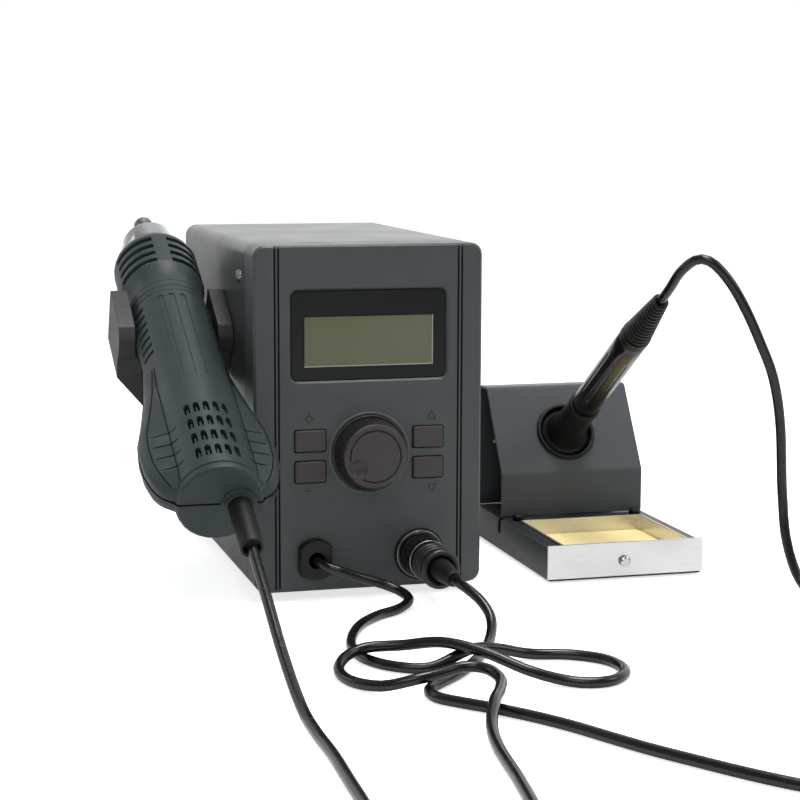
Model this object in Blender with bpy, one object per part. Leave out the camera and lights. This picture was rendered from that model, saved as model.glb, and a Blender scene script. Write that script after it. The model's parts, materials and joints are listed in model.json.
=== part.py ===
"""Hot-air and soldering station with its hot-air handle, iron and iron stand.

The unit's frame has x = 0 in the middle of its front, y = 0 on the front face, with +y
towards the back, and z = 0 on the table. The handle's frame has its z axis along the
barrel from the tail, and -y up. The iron's frame has its z axis along the iron, outwards
from the hole in the stand. All lengths are in metres.
"""

import math

import bmesh
import bpy
from mathutils import Matrix, Vector

MM = 0.001
GAP = 0.3 * MM

# Where the unit's frame lies from the middle of the whole set
UNIT_X = -26.65 * MM
UNIT_Y = -42.75 * MM

# Control unit
CASE_WIDTH = 100 * MM
CASE_HEIGHT = 148 * MM
CASE_DEPTH = 170 * MM
CASE_CORNER = 5 * MM
FOOT_HEIGHT = 4 * MM
FOOT_RADIUS = 6 * MM
FOOT_INSET = 12 * MM
SHEET = 1.2 * MM
BEZEL_DEPTH = 18 * MM
BEZEL_FRONT = 4 * MM
BEZEL_LIP = 4 * MM
LIP_WALL = 1.2 * MM
EDGE_ROUND = 1 * MM
BOTTOM_RETURN = 22 * MM
CHASSIS_FLANGE = 12 * MM
STANDOFF = 10 * MM
REAR_INSET = 3 * MM

# Front panel
WINDOW_WIDTH = 68 * MM
WINDOW_HEIGHT = 38.5 * MM
WINDOW_CORNER = 3 * MM
WINDOW_POCKET = 3 * MM
WINDOW_RECESS = 1 * MM
WINDOW_LEDGE = 4 * MM
SCREEN_WIDTH = 56.6 * MM
SCREEN_HEIGHT = 21.5 * MM
SCREEN_DROP = 2.5 * MM
BOARD_DISTANCE = 10.3 * MM
BOARD_SHEET = 1.6 * MM
KNOB_RING = 17.4 * MM
KNOB_BASE = 16.4 * MM
KNOB_TOP = 15 * MM
KNOB_HEIGHT = 10 * MM
KNOB_STANDOFF = 0.6 * MM
KNOB_TEETH = 84
KNOB_TOOTH = 0.6 * MM
DIMPLE_RADIUS = 4 * MM
SHAFT_RADIUS = 3 * MM
BUTTON_WIDTH = 13.4 * MM
BUTTON_HEIGHT = 9.1 * MM
BUTTON_PROUD = 1.2 * MM
BUTTON_CLEAR = 0.4 * MM
BUTTON_TRAVEL = 0.8 * MM
BUTTON_PITCH = 13.3 * MM
BUTTON_FLANGE = 1 * MM
SOCKET_X = 22.3 * MM
SOCKET_FLANGE = 10.6 * MM
SOCKET_THREAD = 8 * MM
PLUG_RADIUS = 8.8 * MM
PLUG_RING_LENGTH = 13.5 * MM
PLUG_LENGTH = 34 * MM
BOOT_LENGTH = 18 * MM
GLAND_X = -24 * MM
GLAND_WIDTH = 15 * MM
GLAND_HEIGHT = 18.3 * MM
GLAND_PROUD = 4 * MM
CORD_HOLE = 3.5 * MM
CORD_RADIUS = 2.1 * MM

# Back panel
INLET_WIDTH = 27 * MM
INLET_HEIGHT = 20 * MM
SWITCH_WIDTH = 13 * MM
SWITCH_HEIGHT = 19 * MM
ROCKER_ANGLE = 12
VENT_COUNT = 9
VENT_WIDTH = 2.4 * MM
VENT_HEIGHT = 40 * MM

# Inside the case
INLET_REACH = 20 * MM
CORE_WIDTH = 58 * MM
CORE_DEPTH = 26 * MM
CORE_HEIGHT = 48 * MM
COIL_WIDTH = 40 * MM
COIL_HEIGHT = 30 * MM
COIL_LENGTH = 42 * MM
BOARD_START = 34 * MM
SINK_HEIGHT = 32 * MM

# Hot-air handle
HANDLE_TILT = 26.2
TAIL_Y = -57.4 * MM
TAIL_Z = 55.1 * MM
BODY_RADIUS = 17.8 * MM
BODY_LENGTH = 143 * MM
BODY_WALL = 2 * MM
HEAD_RADIUS = 19.2 * MM
HEAD_LENGTH = 47 * MM
HEAD_SLOTS_FROM = 15.2 * MM
HEAD_SLOT_PITCH = 6.15 * MM
WING_WIDTH = 27.8 * MM
WING_HEIGHT = 12.4 * MM
WING_LENGTH = 97 * MM
CREASE_X = 15.6 * MM
NECK_RADIUS = 17 * MM
BOSS_RADIUS = 7.2 * MM
COLLAR_RADIUS = 12.5 * MM
COLLAR_LENGTH = 14 * MM
OUTLET_RADIUS = 3.9 * MM
OUTLET_LENGTH = 15 * MM
HEATER_RADIUS = 9.5 * MM
IMPELLER_RADIUS = 14 * MM
IMPELLER_PLACE = 27 * MM
TAIL_BOOT_X = 7.4 * MM
TAIL_BOOT_RADIUS = 4.8 * MM
TAIL_BOOT_LENGTH = 29 * MM

# The wing's stations: shares of its length, half width and height
WING_STATIONS = (
    (0.015, 0.597, 0.55), (0.03, 0.7, 0.64), (0.05, 0.79, 0.76), (0.08, 0.86, 0.9), (0.12, 0.917, 1),
    (0.2, 0.982, 1), (0.31, 1, 1), (0.41, 0.971, 1), (0.515, 0.885, 1), (0.62, 0.806, 1),
    (0.72, 0.741, 0.95), (0.86, 0.68, 0.8), (1, 0.622, 0.6),
)

# Cradle on the unit's left side
CRADLE_WIDTH = 50 * MM
CRADLE_PAST_BODY = 5 * MM
CRADLE_LENGTH = 38 * MM
CRADLE_BELOW = 30 * MM
CRADLE_ROUND = 3 * MM
CRADLE_CLEAR = 0.4 * MM

# Iron stand
STAND_X = 119.2 * MM
STAND_Y = 2 * MM
STAND_WIDTH = 74 * MM
STAND_DEPTH = 138 * MM
STAND_HEIGHT = 15.4 * MM
STAND_PAD = 1 * MM
OPENING_WIDTH = 61.2 * MM
OPENING_END = 58.5 * MM
TRAY_SHEET = 0.8 * MM
TRAY_RISE = 1 * MM
SPONGE_HEIGHT = 7 * MM
HOOD_INSET = 1.5 * MM
HOOD_FRONT = 70.2 * MM
HOOD_BACK = 107 * MM
HOOD_BEND = 20.6 * MM
HOOD_HEIGHT = 59 * MM
HOOD_LEAN = 57.3
HOLE_ALONG = 20.5 * MM
FUNNEL_RADIUS = 14.5 * MM
FUNNEL_NECK = 13.5 * MM
FUNNEL_DEPTH = 14 * MM

# Soldering iron
FLANGE_RADIUS = 11.8 * MM
GRIP_RADIUS = 7.6 * MM
GRIP_LENGTH = 32 * MM
HANDLE_RADIUS = 6.75 * MM
HANDLE_LENGTH = 69 * MM
IRON_BOOT_LENGTH = 35 * MM
NUT_RADIUS = 6.8 * MM
BARREL_RADIUS = 3.6 * MM
BARREL_LENGTH = 30 * MM
TIP_LENGTH = 15 * MM

# The free height on the front panel, shared above, between and below its rows
CASE_BOTTOM = FOOT_HEIGHT
CASE_TOP = CASE_BOTTOM + CASE_HEIGHT
SPARE = CASE_HEIGHT - WINDOW_HEIGHT - 2 * KNOB_RING - 2 * SOCKET_FLANGE
WINDOW_Z = CASE_TOP - 0.357 * SPARE - WINDOW_HEIGHT / 2
KNOB_Z = WINDOW_Z - WINDOW_HEIGHT / 2 - 0.262 * SPARE - KNOB_RING
SOCKET_Z = CASE_BOTTOM + 0.063 * SPARE + SOCKET_FLANGE
SCREEN_Z = WINDOW_Z - SCREEN_DROP
SLEEVE_WIDTH = CASE_WIDTH - 2 * SHEET
SLEEVE_HEIGHT = CASE_HEIGHT - 2 * SHEET
BEZEL_WALL = SHEET + GAP + LIP_WALL
FLOOR_TOP = CASE_BOTTOM + 2 * SHEET + GAP
HEAD_END = BODY_LENGTH + HEAD_LENGTH
CRADLE_BACK = BODY_LENGTH + CRADLE_PAST_BODY
TRANSFORMER_Y = CASE_DEPTH - REAR_INSET - INLET_REACH - 6 * MM - COIL_LENGTH / 2
BOARD_LENGTH = TRANSFORMER_Y - COIL_LENGTH / 2 - 7 * MM - BOARD_START

PLACE = {
    "front": lambda a, b, c: (a, c, b),
    "plan": lambda a, b, c: (a, b, c),
    "side": lambda a, b, c: (c, a, b),
}


def clear_scene():
    for thing in list(bpy.data.objects):
        bpy.data.objects.remove(thing, do_unlink=True)


def material(name, colour, roughness, metallic=0.0):
    """A plain surface, with its colour given as three sRGB values from 0 to 255."""
    made = bpy.data.materials.new(name)
    made.use_nodes = True
    shader = made.node_tree.nodes["Principled BSDF"]
    linear = [((c / 255 + 0.055) / 1.055) ** 2.4 if c > 10 else c / 3294 for c in colour]
    shader.inputs["Base Color"].default_value = (*linear, 1)
    shader.inputs["Roughness"].default_value = roughness
    shader.inputs["Metallic"].default_value = metallic
    return made


def empty(name, parent=None, place=(0, 0, 0), turn=(0, 0, 0)):
    made = bpy.data.objects.new(name, None)
    bpy.context.collection.objects.link(made)
    made.location = place
    made.rotation_euler = turn
    made.parent = parent
    return made


def solid(name, shape, surface, parent, place=(0, 0, 0), turn=(0, 0, 0), smooth=True):
    """Turn a bmesh into a named object with one material."""
    mesh = bpy.data.meshes.new(name)
    shape.to_mesh(mesh)
    shape.free()
    if surface:
        mesh.materials.append(surface)
    if smooth:
        mesh.shade_smooth()
        mesh.set_sharp_from_angle(angle=math.radians(35))
    made = bpy.data.objects.new(name, mesh)
    bpy.context.collection.objects.link(made)
    made.location = place
    made.rotation_euler = turn
    made.parent = parent
    return made


def combine(target, kind, shape, parent=None, place=(0, 0, 0), turn=(0, 0, 0)):
    """Cut a shape out of an object, or join it on, and keep the shape as a guide."""
    name = f"{target.name}_{kind.lower()}_{len(target.modifiers)}"
    parent = parent or target.parent
    guide = solid(name, shape, None, parent, place, turn, smooth=False)
    guide.hide_render = True
    guide.hide_viewport = True
    guide.display_type = "WIRE"
    step = target.modifiers.new(kind.title(), "BOOLEAN")
    step.operation = kind
    step.solver = "EXACT"
    step.object = guide


def together(shapes):
    """Gather separate shapes in one bmesh, to be used as one guide."""
    whole = bmesh.new()
    for shape in shapes:
        mesh = bpy.data.meshes.new("gathered")
        shape.to_mesh(mesh)
        shape.free()
        whole.from_mesh(mesh)
        bpy.data.meshes.remove(mesh)
    return whole


def moved(shape, place=(0, 0, 0), turn=None):
    """Turn a shape by a matrix and then move it."""
    if turn is not None:
        bmesh.ops.transform(shape, matrix=turn.to_4x4(), verts=shape.verts)
    bmesh.ops.translate(shape, vec=Vector(place), verts=shape.verts)
    return shape


def rounded(width, height, radius, centre=(0, 0), steps=4):
    """Outline of a rectangle with round corners."""
    radius = max(min(radius, width / 2, height / 2), 0.01 * MM)
    points = []
    for number, (side, up) in enumerate(((1, 1), (-1, 1), (-1, -1), (1, -1))):
        for step in range(steps + 1):
            angle = math.radians(90 * (number + step / steps))
            points.append((
                centre[0] + side * (width / 2 - radius) + radius * math.cos(angle),
                centre[1] + up * (height / 2 - radius) + radius * math.sin(angle),
            ))
    return points


def circle(radius, count=24, centre=(0, 0)):
    angles = [2 * math.pi * i / count for i in range(count)]
    return [(centre[0] + radius * math.cos(a), centre[1] + radius * math.sin(a)) for a in angles]


def double_flat(width, height, centre, count=6):
    """Outline of a circle of the given height with its two sides cut flat."""
    radius = height / 2
    corner = math.acos(width / 2 / radius)
    points = []
    for side in (0, 1):
        for step in range(count + 1):
            angle = math.pi * side + corner + (math.pi - 2 * corner) * step / count
            points.append((centre[0] + radius * math.cos(angle), centre[1] + radius * math.sin(angle)))
    return points


def filleted(points, radius, steps=4):
    """Replace the inner corners of an open path by arcs."""
    path = [Vector(points[0])]
    for before, corner, after in zip(points, points[1:], points[2:]):
        corner = Vector(corner)
        back = (Vector(before) - corner).normalized()
        onward = (Vector(after) - corner).normalized()
        half = math.acos(max(-1, min(1, back.dot(onward)))) / 2
        reach = radius / math.tan(half)
        middle = corner + (back + onward).normalized() * radius / math.sin(half)
        start = corner + back * reach - middle
        end = corner + onward * reach - middle
        for step in range(steps + 1):
            path.append(middle + start.lerp(end, step / steps).normalized() * radius)
    path.append(Vector(points[-1]))
    return path


def strip(points, thickness):
    """Outline of sheet metal that follows a path, with its thickness on the left."""
    path = [Vector(point) for point in points]
    normals = []
    for a, b in zip(path, path[1:]):
        run = (b - a).normalized()
        normals.append(Vector((-run.y, run.x)))
    other = [path[0] + normals[0] * thickness]
    for point, before, after in zip(path[1:], normals, normals[1:]):
        both = (before + after).normalized()
        other.append(point + both * thickness / both.dot(after))
    other.append(path[-1] + normals[-1] * thickness)
    return [tuple(p) for p in path + other[::-1]]


def loft(rings):
    """Skin rings of points that all have the same count, with a face on each end."""
    bm = bmesh.new()
    made = [[bm.verts.new(point) for point in ring] for ring in rings]
    count = len(made[0])
    for ring, following in zip(made, made[1:]):
        for i in range(count):
            j = (i + 1) % count
            bm.faces.new((ring[i], ring[j], following[j], following[i]))
    bm.faces.new(made[0])
    bm.faces.new(made[-1])
    bmesh.ops.recalc_face_normals(bm, faces=bm.faces)
    return bm


def prism(outline, plane, start, end):
    """Extrude an outline that lies in a plane of the frame."""
    place = PLACE[plane]
    bm = bmesh.new()
    face = bm.faces.new([bm.verts.new(place(a, b, start)) for a, b in outline])
    grown = bmesh.ops.extrude_face_region(bm, geom=[face])
    ends = [v for v in grown["geom"] if isinstance(v, bmesh.types.BMVert)]
    bmesh.ops.translate(bm, vec=Vector(place(0, 0, end - start)), verts=ends)
    bmesh.ops.recalc_face_normals(bm, faces=bm.faces)
    return bm


def block(low, high):
    """A box from its lowest to its highest corner."""
    middle = [(a + b) / 2 for a, b in zip(low, high)]
    size = [b - a for a, b in zip(low, high)]
    bm = bmesh.new()
    bmesh.ops.create_cube(bm, size=1)
    bmesh.ops.scale(bm, vec=size, verts=bm.verts)
    bmesh.ops.translate(bm, vec=middle, verts=bm.verts)
    return bm


def turned(profile, steps=32, along="z"):
    """Spin a (radius, height) profile about the z axis, or about the y axis."""
    bm = bmesh.new()
    verts = [bm.verts.new((radius, 0, height)) for radius, height in profile]
    pairs = zip(verts, verts[1:] + verts[:1])
    edges = [bm.edges.new(pair) for pair in pairs if pair[0].co.x or pair[1].co.x]
    bmesh.ops.spin(
        bm, geom=verts + edges, cent=(0, 0, 0), axis=(0, 0, 1), angle=2 * math.pi, steps=steps
    )
    bmesh.ops.remove_doubles(bm, verts=bm.verts, dist=0.001 * MM)
    bmesh.ops.dissolve_degenerate(bm, edges=bm.edges, dist=0.001 * MM)
    if along == "y":
        bmesh.ops.transform(bm, matrix=Matrix.Rotation(math.radians(-90), 4, "X"), verts=bm.verts)
    bmesh.ops.recalc_face_normals(bm, faces=bm.faces)
    return bm


def cylinder(radius, start, end, centre=(0, 0), along="z", steps=24):
    plane = {"z": "plan", "y": "front", "x": "side"}[along]
    return prism(circle(radius, steps, centre), plane, start, end)


def smooth_route(points, spacing):
    """Points at an even spacing along a smooth curve through a cord's route points."""
    route = [Vector(point) * MM for point in points]
    ends = [route[0] * 2 - route[1]], [route[-1] * 2 - route[-2]]
    full = ends[0] + route + ends[1]
    fine = []
    for a, b, c, d in zip(full, full[1:], full[2:], full[3:]):
        for step in range(24):
            t = step / 24
            fine.append(0.5 * (
                2 * b + (c - a) * t + (2 * a - 5 * b + 4 * c - d) * t ** 2
                + (3 * b - a - 3 * c + d) * t ** 3
            ))
    fine.append(route[-1])
    length = sum((b - a).length for a, b in zip(fine, fine[1:]))
    count = round(length / spacing)
    even, passed, wanted = [fine[0]], 0.0, length / count
    for a, b in zip(fine, fine[1:]):
        run = (b - a).length
        while len(even) < count and passed + run >= wanted * len(even):
            even.append(a.lerp(b, (wanted * len(even) - passed) / run))
        passed += run
    even.append(fine[-1])
    return even


def cord(name, points, surface, parent):
    """A round cord that follows its route."""
    curve = bpy.data.curves.new(name, "CURVE")
    curve.dimensions = "3D"
    route = smooth_route(points, 3 * 2 * CORD_RADIUS)
    spline = curve.splines.new("POLY")
    spline.points.add(len(route) - 1)
    for point, place in zip(spline.points, route):
        point.co = (*place, 1)
    curve.bevel_depth = CORD_RADIUS
    curve.bevel_resolution = 2
    curve.use_fill_caps = True
    curve.materials.append(surface)
    made = bpy.data.objects.new(name, curve)
    bpy.context.collection.objects.link(made)
    made.parent = parent
    return made


def build_materials():
    return {
        "case_grey": material("case_grey", (72, 77, 78), 0.45),
        "sheet_grey": material("sheet_grey", (110, 110, 110), 0.4, 0.3),
        "black_plastic": material("black_plastic", (36, 36, 36), 0.4),
        "control_grey": material("control_grey", (72, 68, 68), 0.5),
        "screen_green": material("screen_green", (96, 99, 79), 0.2),
        "board_green": material("board_green", (30, 84, 52), 0.5),
        "handle_grey": material("handle_grey", (75, 82, 84), 0.5),
        "chrome": material("chrome", (215, 215, 215), 0.15, 1.0),
        "steel": material("steel", (190, 190, 190), 0.3, 1.0),
        "ceramic": material("ceramic", (220, 214, 200), 0.7),
        "rubber": material("rubber", (24, 24, 24), 0.8),
        "sponge_yellow": material("sponge_yellow", (245, 215, 135), 0.95),
        "cord_black": material("cord_black", (20, 20, 20), 0.5),
    }


def case_ring(width, height, radius, y):
    middle = CASE_BOTTOM + CASE_HEIGHT / 2
    return [(x, y, z) for x, z in rounded(width, height, radius, (0, middle))]


def button_places():
    side = KNOB_RING + 1.4 * MM + BUTTON_WIDTH / 2 + BUTTON_CLEAR
    upper = KNOB_Z + 6.1 * MM
    return [(x, z) for x in (-side, side) for z in (upper, upper - BUTTON_PITCH)]


def build_bezel(unit, surfaces):
    """Moulded front frame with its window pocket, holes and the lip that the cover slips over."""
    lip_width = SLEEVE_WIDTH - 2 * GAP
    lip_height = SLEEVE_HEIGHT - 2 * GAP
    lip_corner = CASE_CORNER - SHEET - GAP
    rings = [
        case_ring(CASE_WIDTH - 2 * EDGE_ROUND, CASE_HEIGHT - 2 * EDGE_ROUND, CASE_CORNER - EDGE_ROUND, 0),
        case_ring(CASE_WIDTH, CASE_HEIGHT, CASE_CORNER, EDGE_ROUND),
        case_ring(CASE_WIDTH, CASE_HEIGHT, CASE_CORNER, BEZEL_DEPTH),
        case_ring(lip_width, lip_height, lip_corner, BEZEL_DEPTH),
        case_ring(lip_width, lip_height, lip_corner, BEZEL_DEPTH + BEZEL_LIP),
    ]
    bezel = solid("bezel", loft(rings), surfaces["case_grey"], unit)
    room = rounded(
        CASE_WIDTH - 2 * BEZEL_WALL, CASE_HEIGHT - 2 * BEZEL_WALL, CASE_CORNER - BEZEL_WALL,
        (0, CASE_BOTTOM + CASE_HEIGHT / 2),
    )
    combine(bezel, "DIFFERENCE", prism(room, "front", BEZEL_FRONT, BEZEL_DEPTH + BEZEL_LIP + MM))
    pocket = rounded(WINDOW_WIDTH, WINDOW_HEIGHT, WINDOW_CORNER, (0, WINDOW_Z))
    through = rounded(
        WINDOW_WIDTH - 2 * WINDOW_LEDGE, WINDOW_HEIGHT - 2 * WINDOW_LEDGE, MM, (0, WINDOW_Z)
    )
    holes = [prism(pocket, "front", -MM, WINDOW_POCKET), cylinder(3.8 * MM, -MM, 5 * MM, (0, KNOB_Z), "y")]
    holes.append(cylinder(SOCKET_THREAD + GAP, -MM, 5 * MM, (SOCKET_X, SOCKET_Z), "y", 24))
    gland = double_flat(GLAND_WIDTH, GLAND_HEIGHT, (GLAND_X, SOCKET_Z))
    holes.append(prism(gland, "front", -MM, 5 * MM))
    for place in button_places():
        hole = rounded(BUTTON_WIDTH + 2 * BUTTON_CLEAR, BUTTON_HEIGHT + 2 * BUTTON_CLEAR, MM, place, 2)
        holes.append(prism(hole, "front", -MM, 5 * MM))
    combine(bezel, "DIFFERENCE", together(holes))
    combine(bezel, "DIFFERENCE", prism(through, "front", -MM, BEZEL_FRONT + MM))
    # Two fine upright grooves near each side
    grooves = []
    for side in (-1, 1):
        for inset in (9.1 * MM, 10.7 * MM):
            x = side * (CASE_WIDTH / 2 - inset)
            low = (x - 0.4 * MM, -MM, CASE_BOTTOM - MM)
            grooves.append(block(low, (x + 0.4 * MM, 0.5 * MM, CASE_TOP + MM)))
    combine(bezel, "DIFFERENCE", together(grooves))
    combine(bezel, "UNION", knob_ring())
    posts = [
        cylinder(2.5 * MM, BEZEL_FRONT - MM, BOARD_DISTANCE - GAP, (x, z), "y", 12)
        for x, z in board_corners()
    ]
    combine(bezel, "UNION", together(posts))


def board_corners():
    half = CASE_WIDTH / 2 - BEZEL_WALL - 7 * MM
    low = KNOB_Z - KNOB_RING - 2 * MM
    high = WINDOW_Z + WINDOW_HEIGHT / 2 + 4 * MM
    return [(x, z) for x in (-half, half) for z in (low, high)]


def knob_ring():
    """Thin raised ring on the front, round the knob."""
    outer, inner = KNOB_RING, KNOB_RING - 0.6 * MM
    profile = [(inner, 0.5 * MM), (outer, 0.5 * MM), (outer, -0.5 * MM), (inner, -0.5 * MM)]
    return moved(turned(profile, 40, "y"), (0, 0, KNOB_Z))


def build_display(unit, surfaces):
    """Window frame, screen and the board behind the panel with its four switches."""
    outline = rounded(WINDOW_WIDTH - 2 * GAP, WINDOW_HEIGHT - 2 * GAP, WINDOW_CORNER - GAP, (0, WINDOW_Z))
    window = solid(
        "display_window", prism(outline, "front", WINDOW_RECESS, WINDOW_POCKET - GAP),
        surfaces["black_plastic"], unit,
    )
    opening = rounded(SCREEN_WIDTH, SCREEN_HEIGHT, 0.3 * MM, (0, SCREEN_Z), 1)
    combine(window, "DIFFERENCE", prism(opening, "front", 0, BEZEL_FRONT))
    glass = rounded(SCREEN_WIDTH - 2 * GAP, SCREEN_HEIGHT - 2 * GAP, 0.3 * MM, (0, SCREEN_Z), 1)
    screen = solid(
        "lcd_module", prism(glass, "front", WINDOW_RECESS + GAP, BEZEL_FRONT), surfaces["screen_green"], unit
    )
    body = rounded(
        WINDOW_WIDTH - 2 * WINDOW_LEDGE - 2 * GAP, WINDOW_HEIGHT - 2 * WINDOW_LEDGE - 2 * GAP, MM,
        (0, WINDOW_Z), 2,
    )
    combine(screen, "UNION", prism(body, "front", WINDOW_POCKET, BOARD_DISTANCE - GAP))
    corners = board_corners()
    low, high = corners[0], corners[-1]
    edge = 3.5 * MM
    size = (high[0] - low[0] + 2 * edge, high[1] - low[1] + 2 * edge)
    centre = (0, (low[1] + high[1]) / 2)
    board = solid(
        "display_board",
        prism(rounded(*size, MM, centre, 1), "front", BOARD_DISTANCE, BOARD_DISTANCE + BOARD_SHEET),
        surfaces["board_green"], unit,
    )
    switches = []
    top = BEZEL_FRONT + GAP + BUTTON_FLANGE + BUTTON_TRAVEL + 0.1 * MM
    for place in button_places():
        base = rounded(6 * MM, 6 * MM, 0.5 * MM, place, 1)
        switches.append(prism(base, "front", top + 0.8 * MM, BOARD_DISTANCE + 0.5 * MM))
        switches.append(cylinder(1.7 * MM, top, BOARD_DISTANCE, place, "y", 8))
    for number in range(0, len(switches), 2):
        combine(board, "UNION", switches[number])
        combine(board, "UNION", switches[number + 1])


def build_buttons(unit, surfaces):
    """Four key caps, each with a flange that keeps it behind the panel."""
    for number, (x, z) in enumerate(button_places(), 1):
        back = BEZEL_FRONT + GAP
        cap = [rounded(BUTTON_WIDTH - s, BUTTON_HEIGHT - s, 0.8 * MM, steps=2) for s in (0.8 * MM, 0)]
        flange = rounded(BUTTON_WIDTH + 2 * MM, BUTTON_HEIGHT + 2 * MM, 0.8 * MM, steps=2)
        levels = [
            (cap[0], -BUTTON_PROUD), (cap[1], -BUTTON_PROUD + 0.4 * MM), (cap[1], back),
            (flange, back), (flange, back + BUTTON_FLANGE),
        ]
        rings = [[(a, y, b) for a, b in outline] for outline, y in levels]
        solid(f"button_{number}", loft(rings), surfaces["control_grey"], unit, (x, 0, z))


def build_knob(unit, surfaces):
    """Encoder fixed behind the panel, with its shaft and the finely toothed knob that turns."""
    axis = empty("knob_axis", unit, (0, 0, KNOB_Z))
    back = BEZEL_FRONT + GAP
    body = solid(
        "encoder", prism(rounded(12.4 * MM, 13.2 * MM, MM, steps=2), "front", back, BOARD_DISTANCE - GAP),
        surfaces["steel"], axis,
    )
    nut_back, nut_front = -GAP, -2.6 * MM
    bushing = [
        (0, nut_front), (SHAFT_RADIUS + 0.45 * MM, nut_front), (5.5 * MM, nut_front), (5.5 * MM, nut_back),
        (SHAFT_RADIUS + 0.45 * MM, nut_back), (SHAFT_RADIUS + 0.45 * MM, back + MM), (0, back + MM),
    ]
    combine(body, "UNION", turned(bushing, 16, "y"))
    combine(body, "DIFFERENCE", cylinder(SHAFT_RADIUS + GAP / 2, -4 * MM, 9 * MM, along="y", steps=16))
    shaft_end = -KNOB_HEIGHT + 2 * MM
    solid(
        "encoder_shaft", cylinder(SHAFT_RADIUS - GAP / 2, shaft_end, 9 * MM - GAP, along="y", steps=16),
        surfaces["steel"], axis,
    )
    count = 2 * KNOB_TEETH
    levels = [
        (KNOB_BASE, KNOB_TOOTH, -KNOB_STANDOFF), (KNOB_TOP, KNOB_TOOTH, 0.8 * MM - KNOB_HEIGHT),
        (KNOB_TOP - 0.9 * MM, 0, -KNOB_HEIGHT),
    ]
    rings = []
    for radius, tooth, y in levels:
        ring = []
        for i in range(count):
            angle = 2 * math.pi * i / count
            reach = radius - tooth * (i % 2)
            ring.append((reach * math.cos(angle), y, reach * math.sin(angle)))
        rings.append(ring)
    knob = solid("knob", loft(rings), surfaces["control_grey"], axis)
    hollow = [
        (0, 0), (12.8 * MM, 0), (12.8 * MM, -4 * MM), (SHAFT_RADIUS + GAP / 2, -4 * MM),
        (SHAFT_RADIUS + GAP / 2, shaft_end - GAP), (0, shaft_end - GAP),
    ]
    combine(knob, "DIFFERENCE", turned(hollow, 20, "y"))
    face = -KNOB_HEIGHT
    groove = [
        (10.7 * MM, face - MM), (11.3 * MM, face - MM), (11.3 * MM, face + 0.5 * MM),
        (10.7 * MM, face + 0.5 * MM),
    ]
    combine(knob, "DIFFERENCE", turned(groove, 32, "y"))
    sink = 8.5 * MM
    dimple = bmesh.new()
    bmesh.ops.create_uvsphere(dimple, u_segments=16, v_segments=24, radius=sink)
    rise = math.sqrt(sink ** 2 - DIMPLE_RADIUS ** 2)
    combine(knob, "DIFFERENCE", moved(dimple, (-7.4 * MM, face - rise, -4.9 * MM)))


def build_gland(unit, surfaces):
    """Flat-sided bushing where the handle's cord comes out."""
    centre = (GLAND_X, SOCKET_Z)
    levels = [
        (1.5 * MM, 1.3 * MM, -GLAND_PROUD), (1.5 * MM, 1.3 * MM, 0), (2 * GAP, 2 * GAP, 0),
        (2 * GAP, 2 * GAP, BEZEL_FRONT + GAP), (-2 * MM, -2 * MM, BEZEL_FRONT + GAP),
        (-2 * MM, -2 * MM, BEZEL_FRONT + 2 * MM),
    ]
    rings = []
    for less, lower, y in levels:
        outline = double_flat(GLAND_WIDTH - less, GLAND_HEIGHT - lower, centre)
        rings.append([(a, y, b) for a, b in outline])
    gland = solid("cord_gland", loft(rings), surfaces["black_plastic"], unit)
    combine(gland, "DIFFERENCE", cylinder(CORD_HOLE, -GLAND_PROUD - MM, MM, centre, "y", 20))


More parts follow.
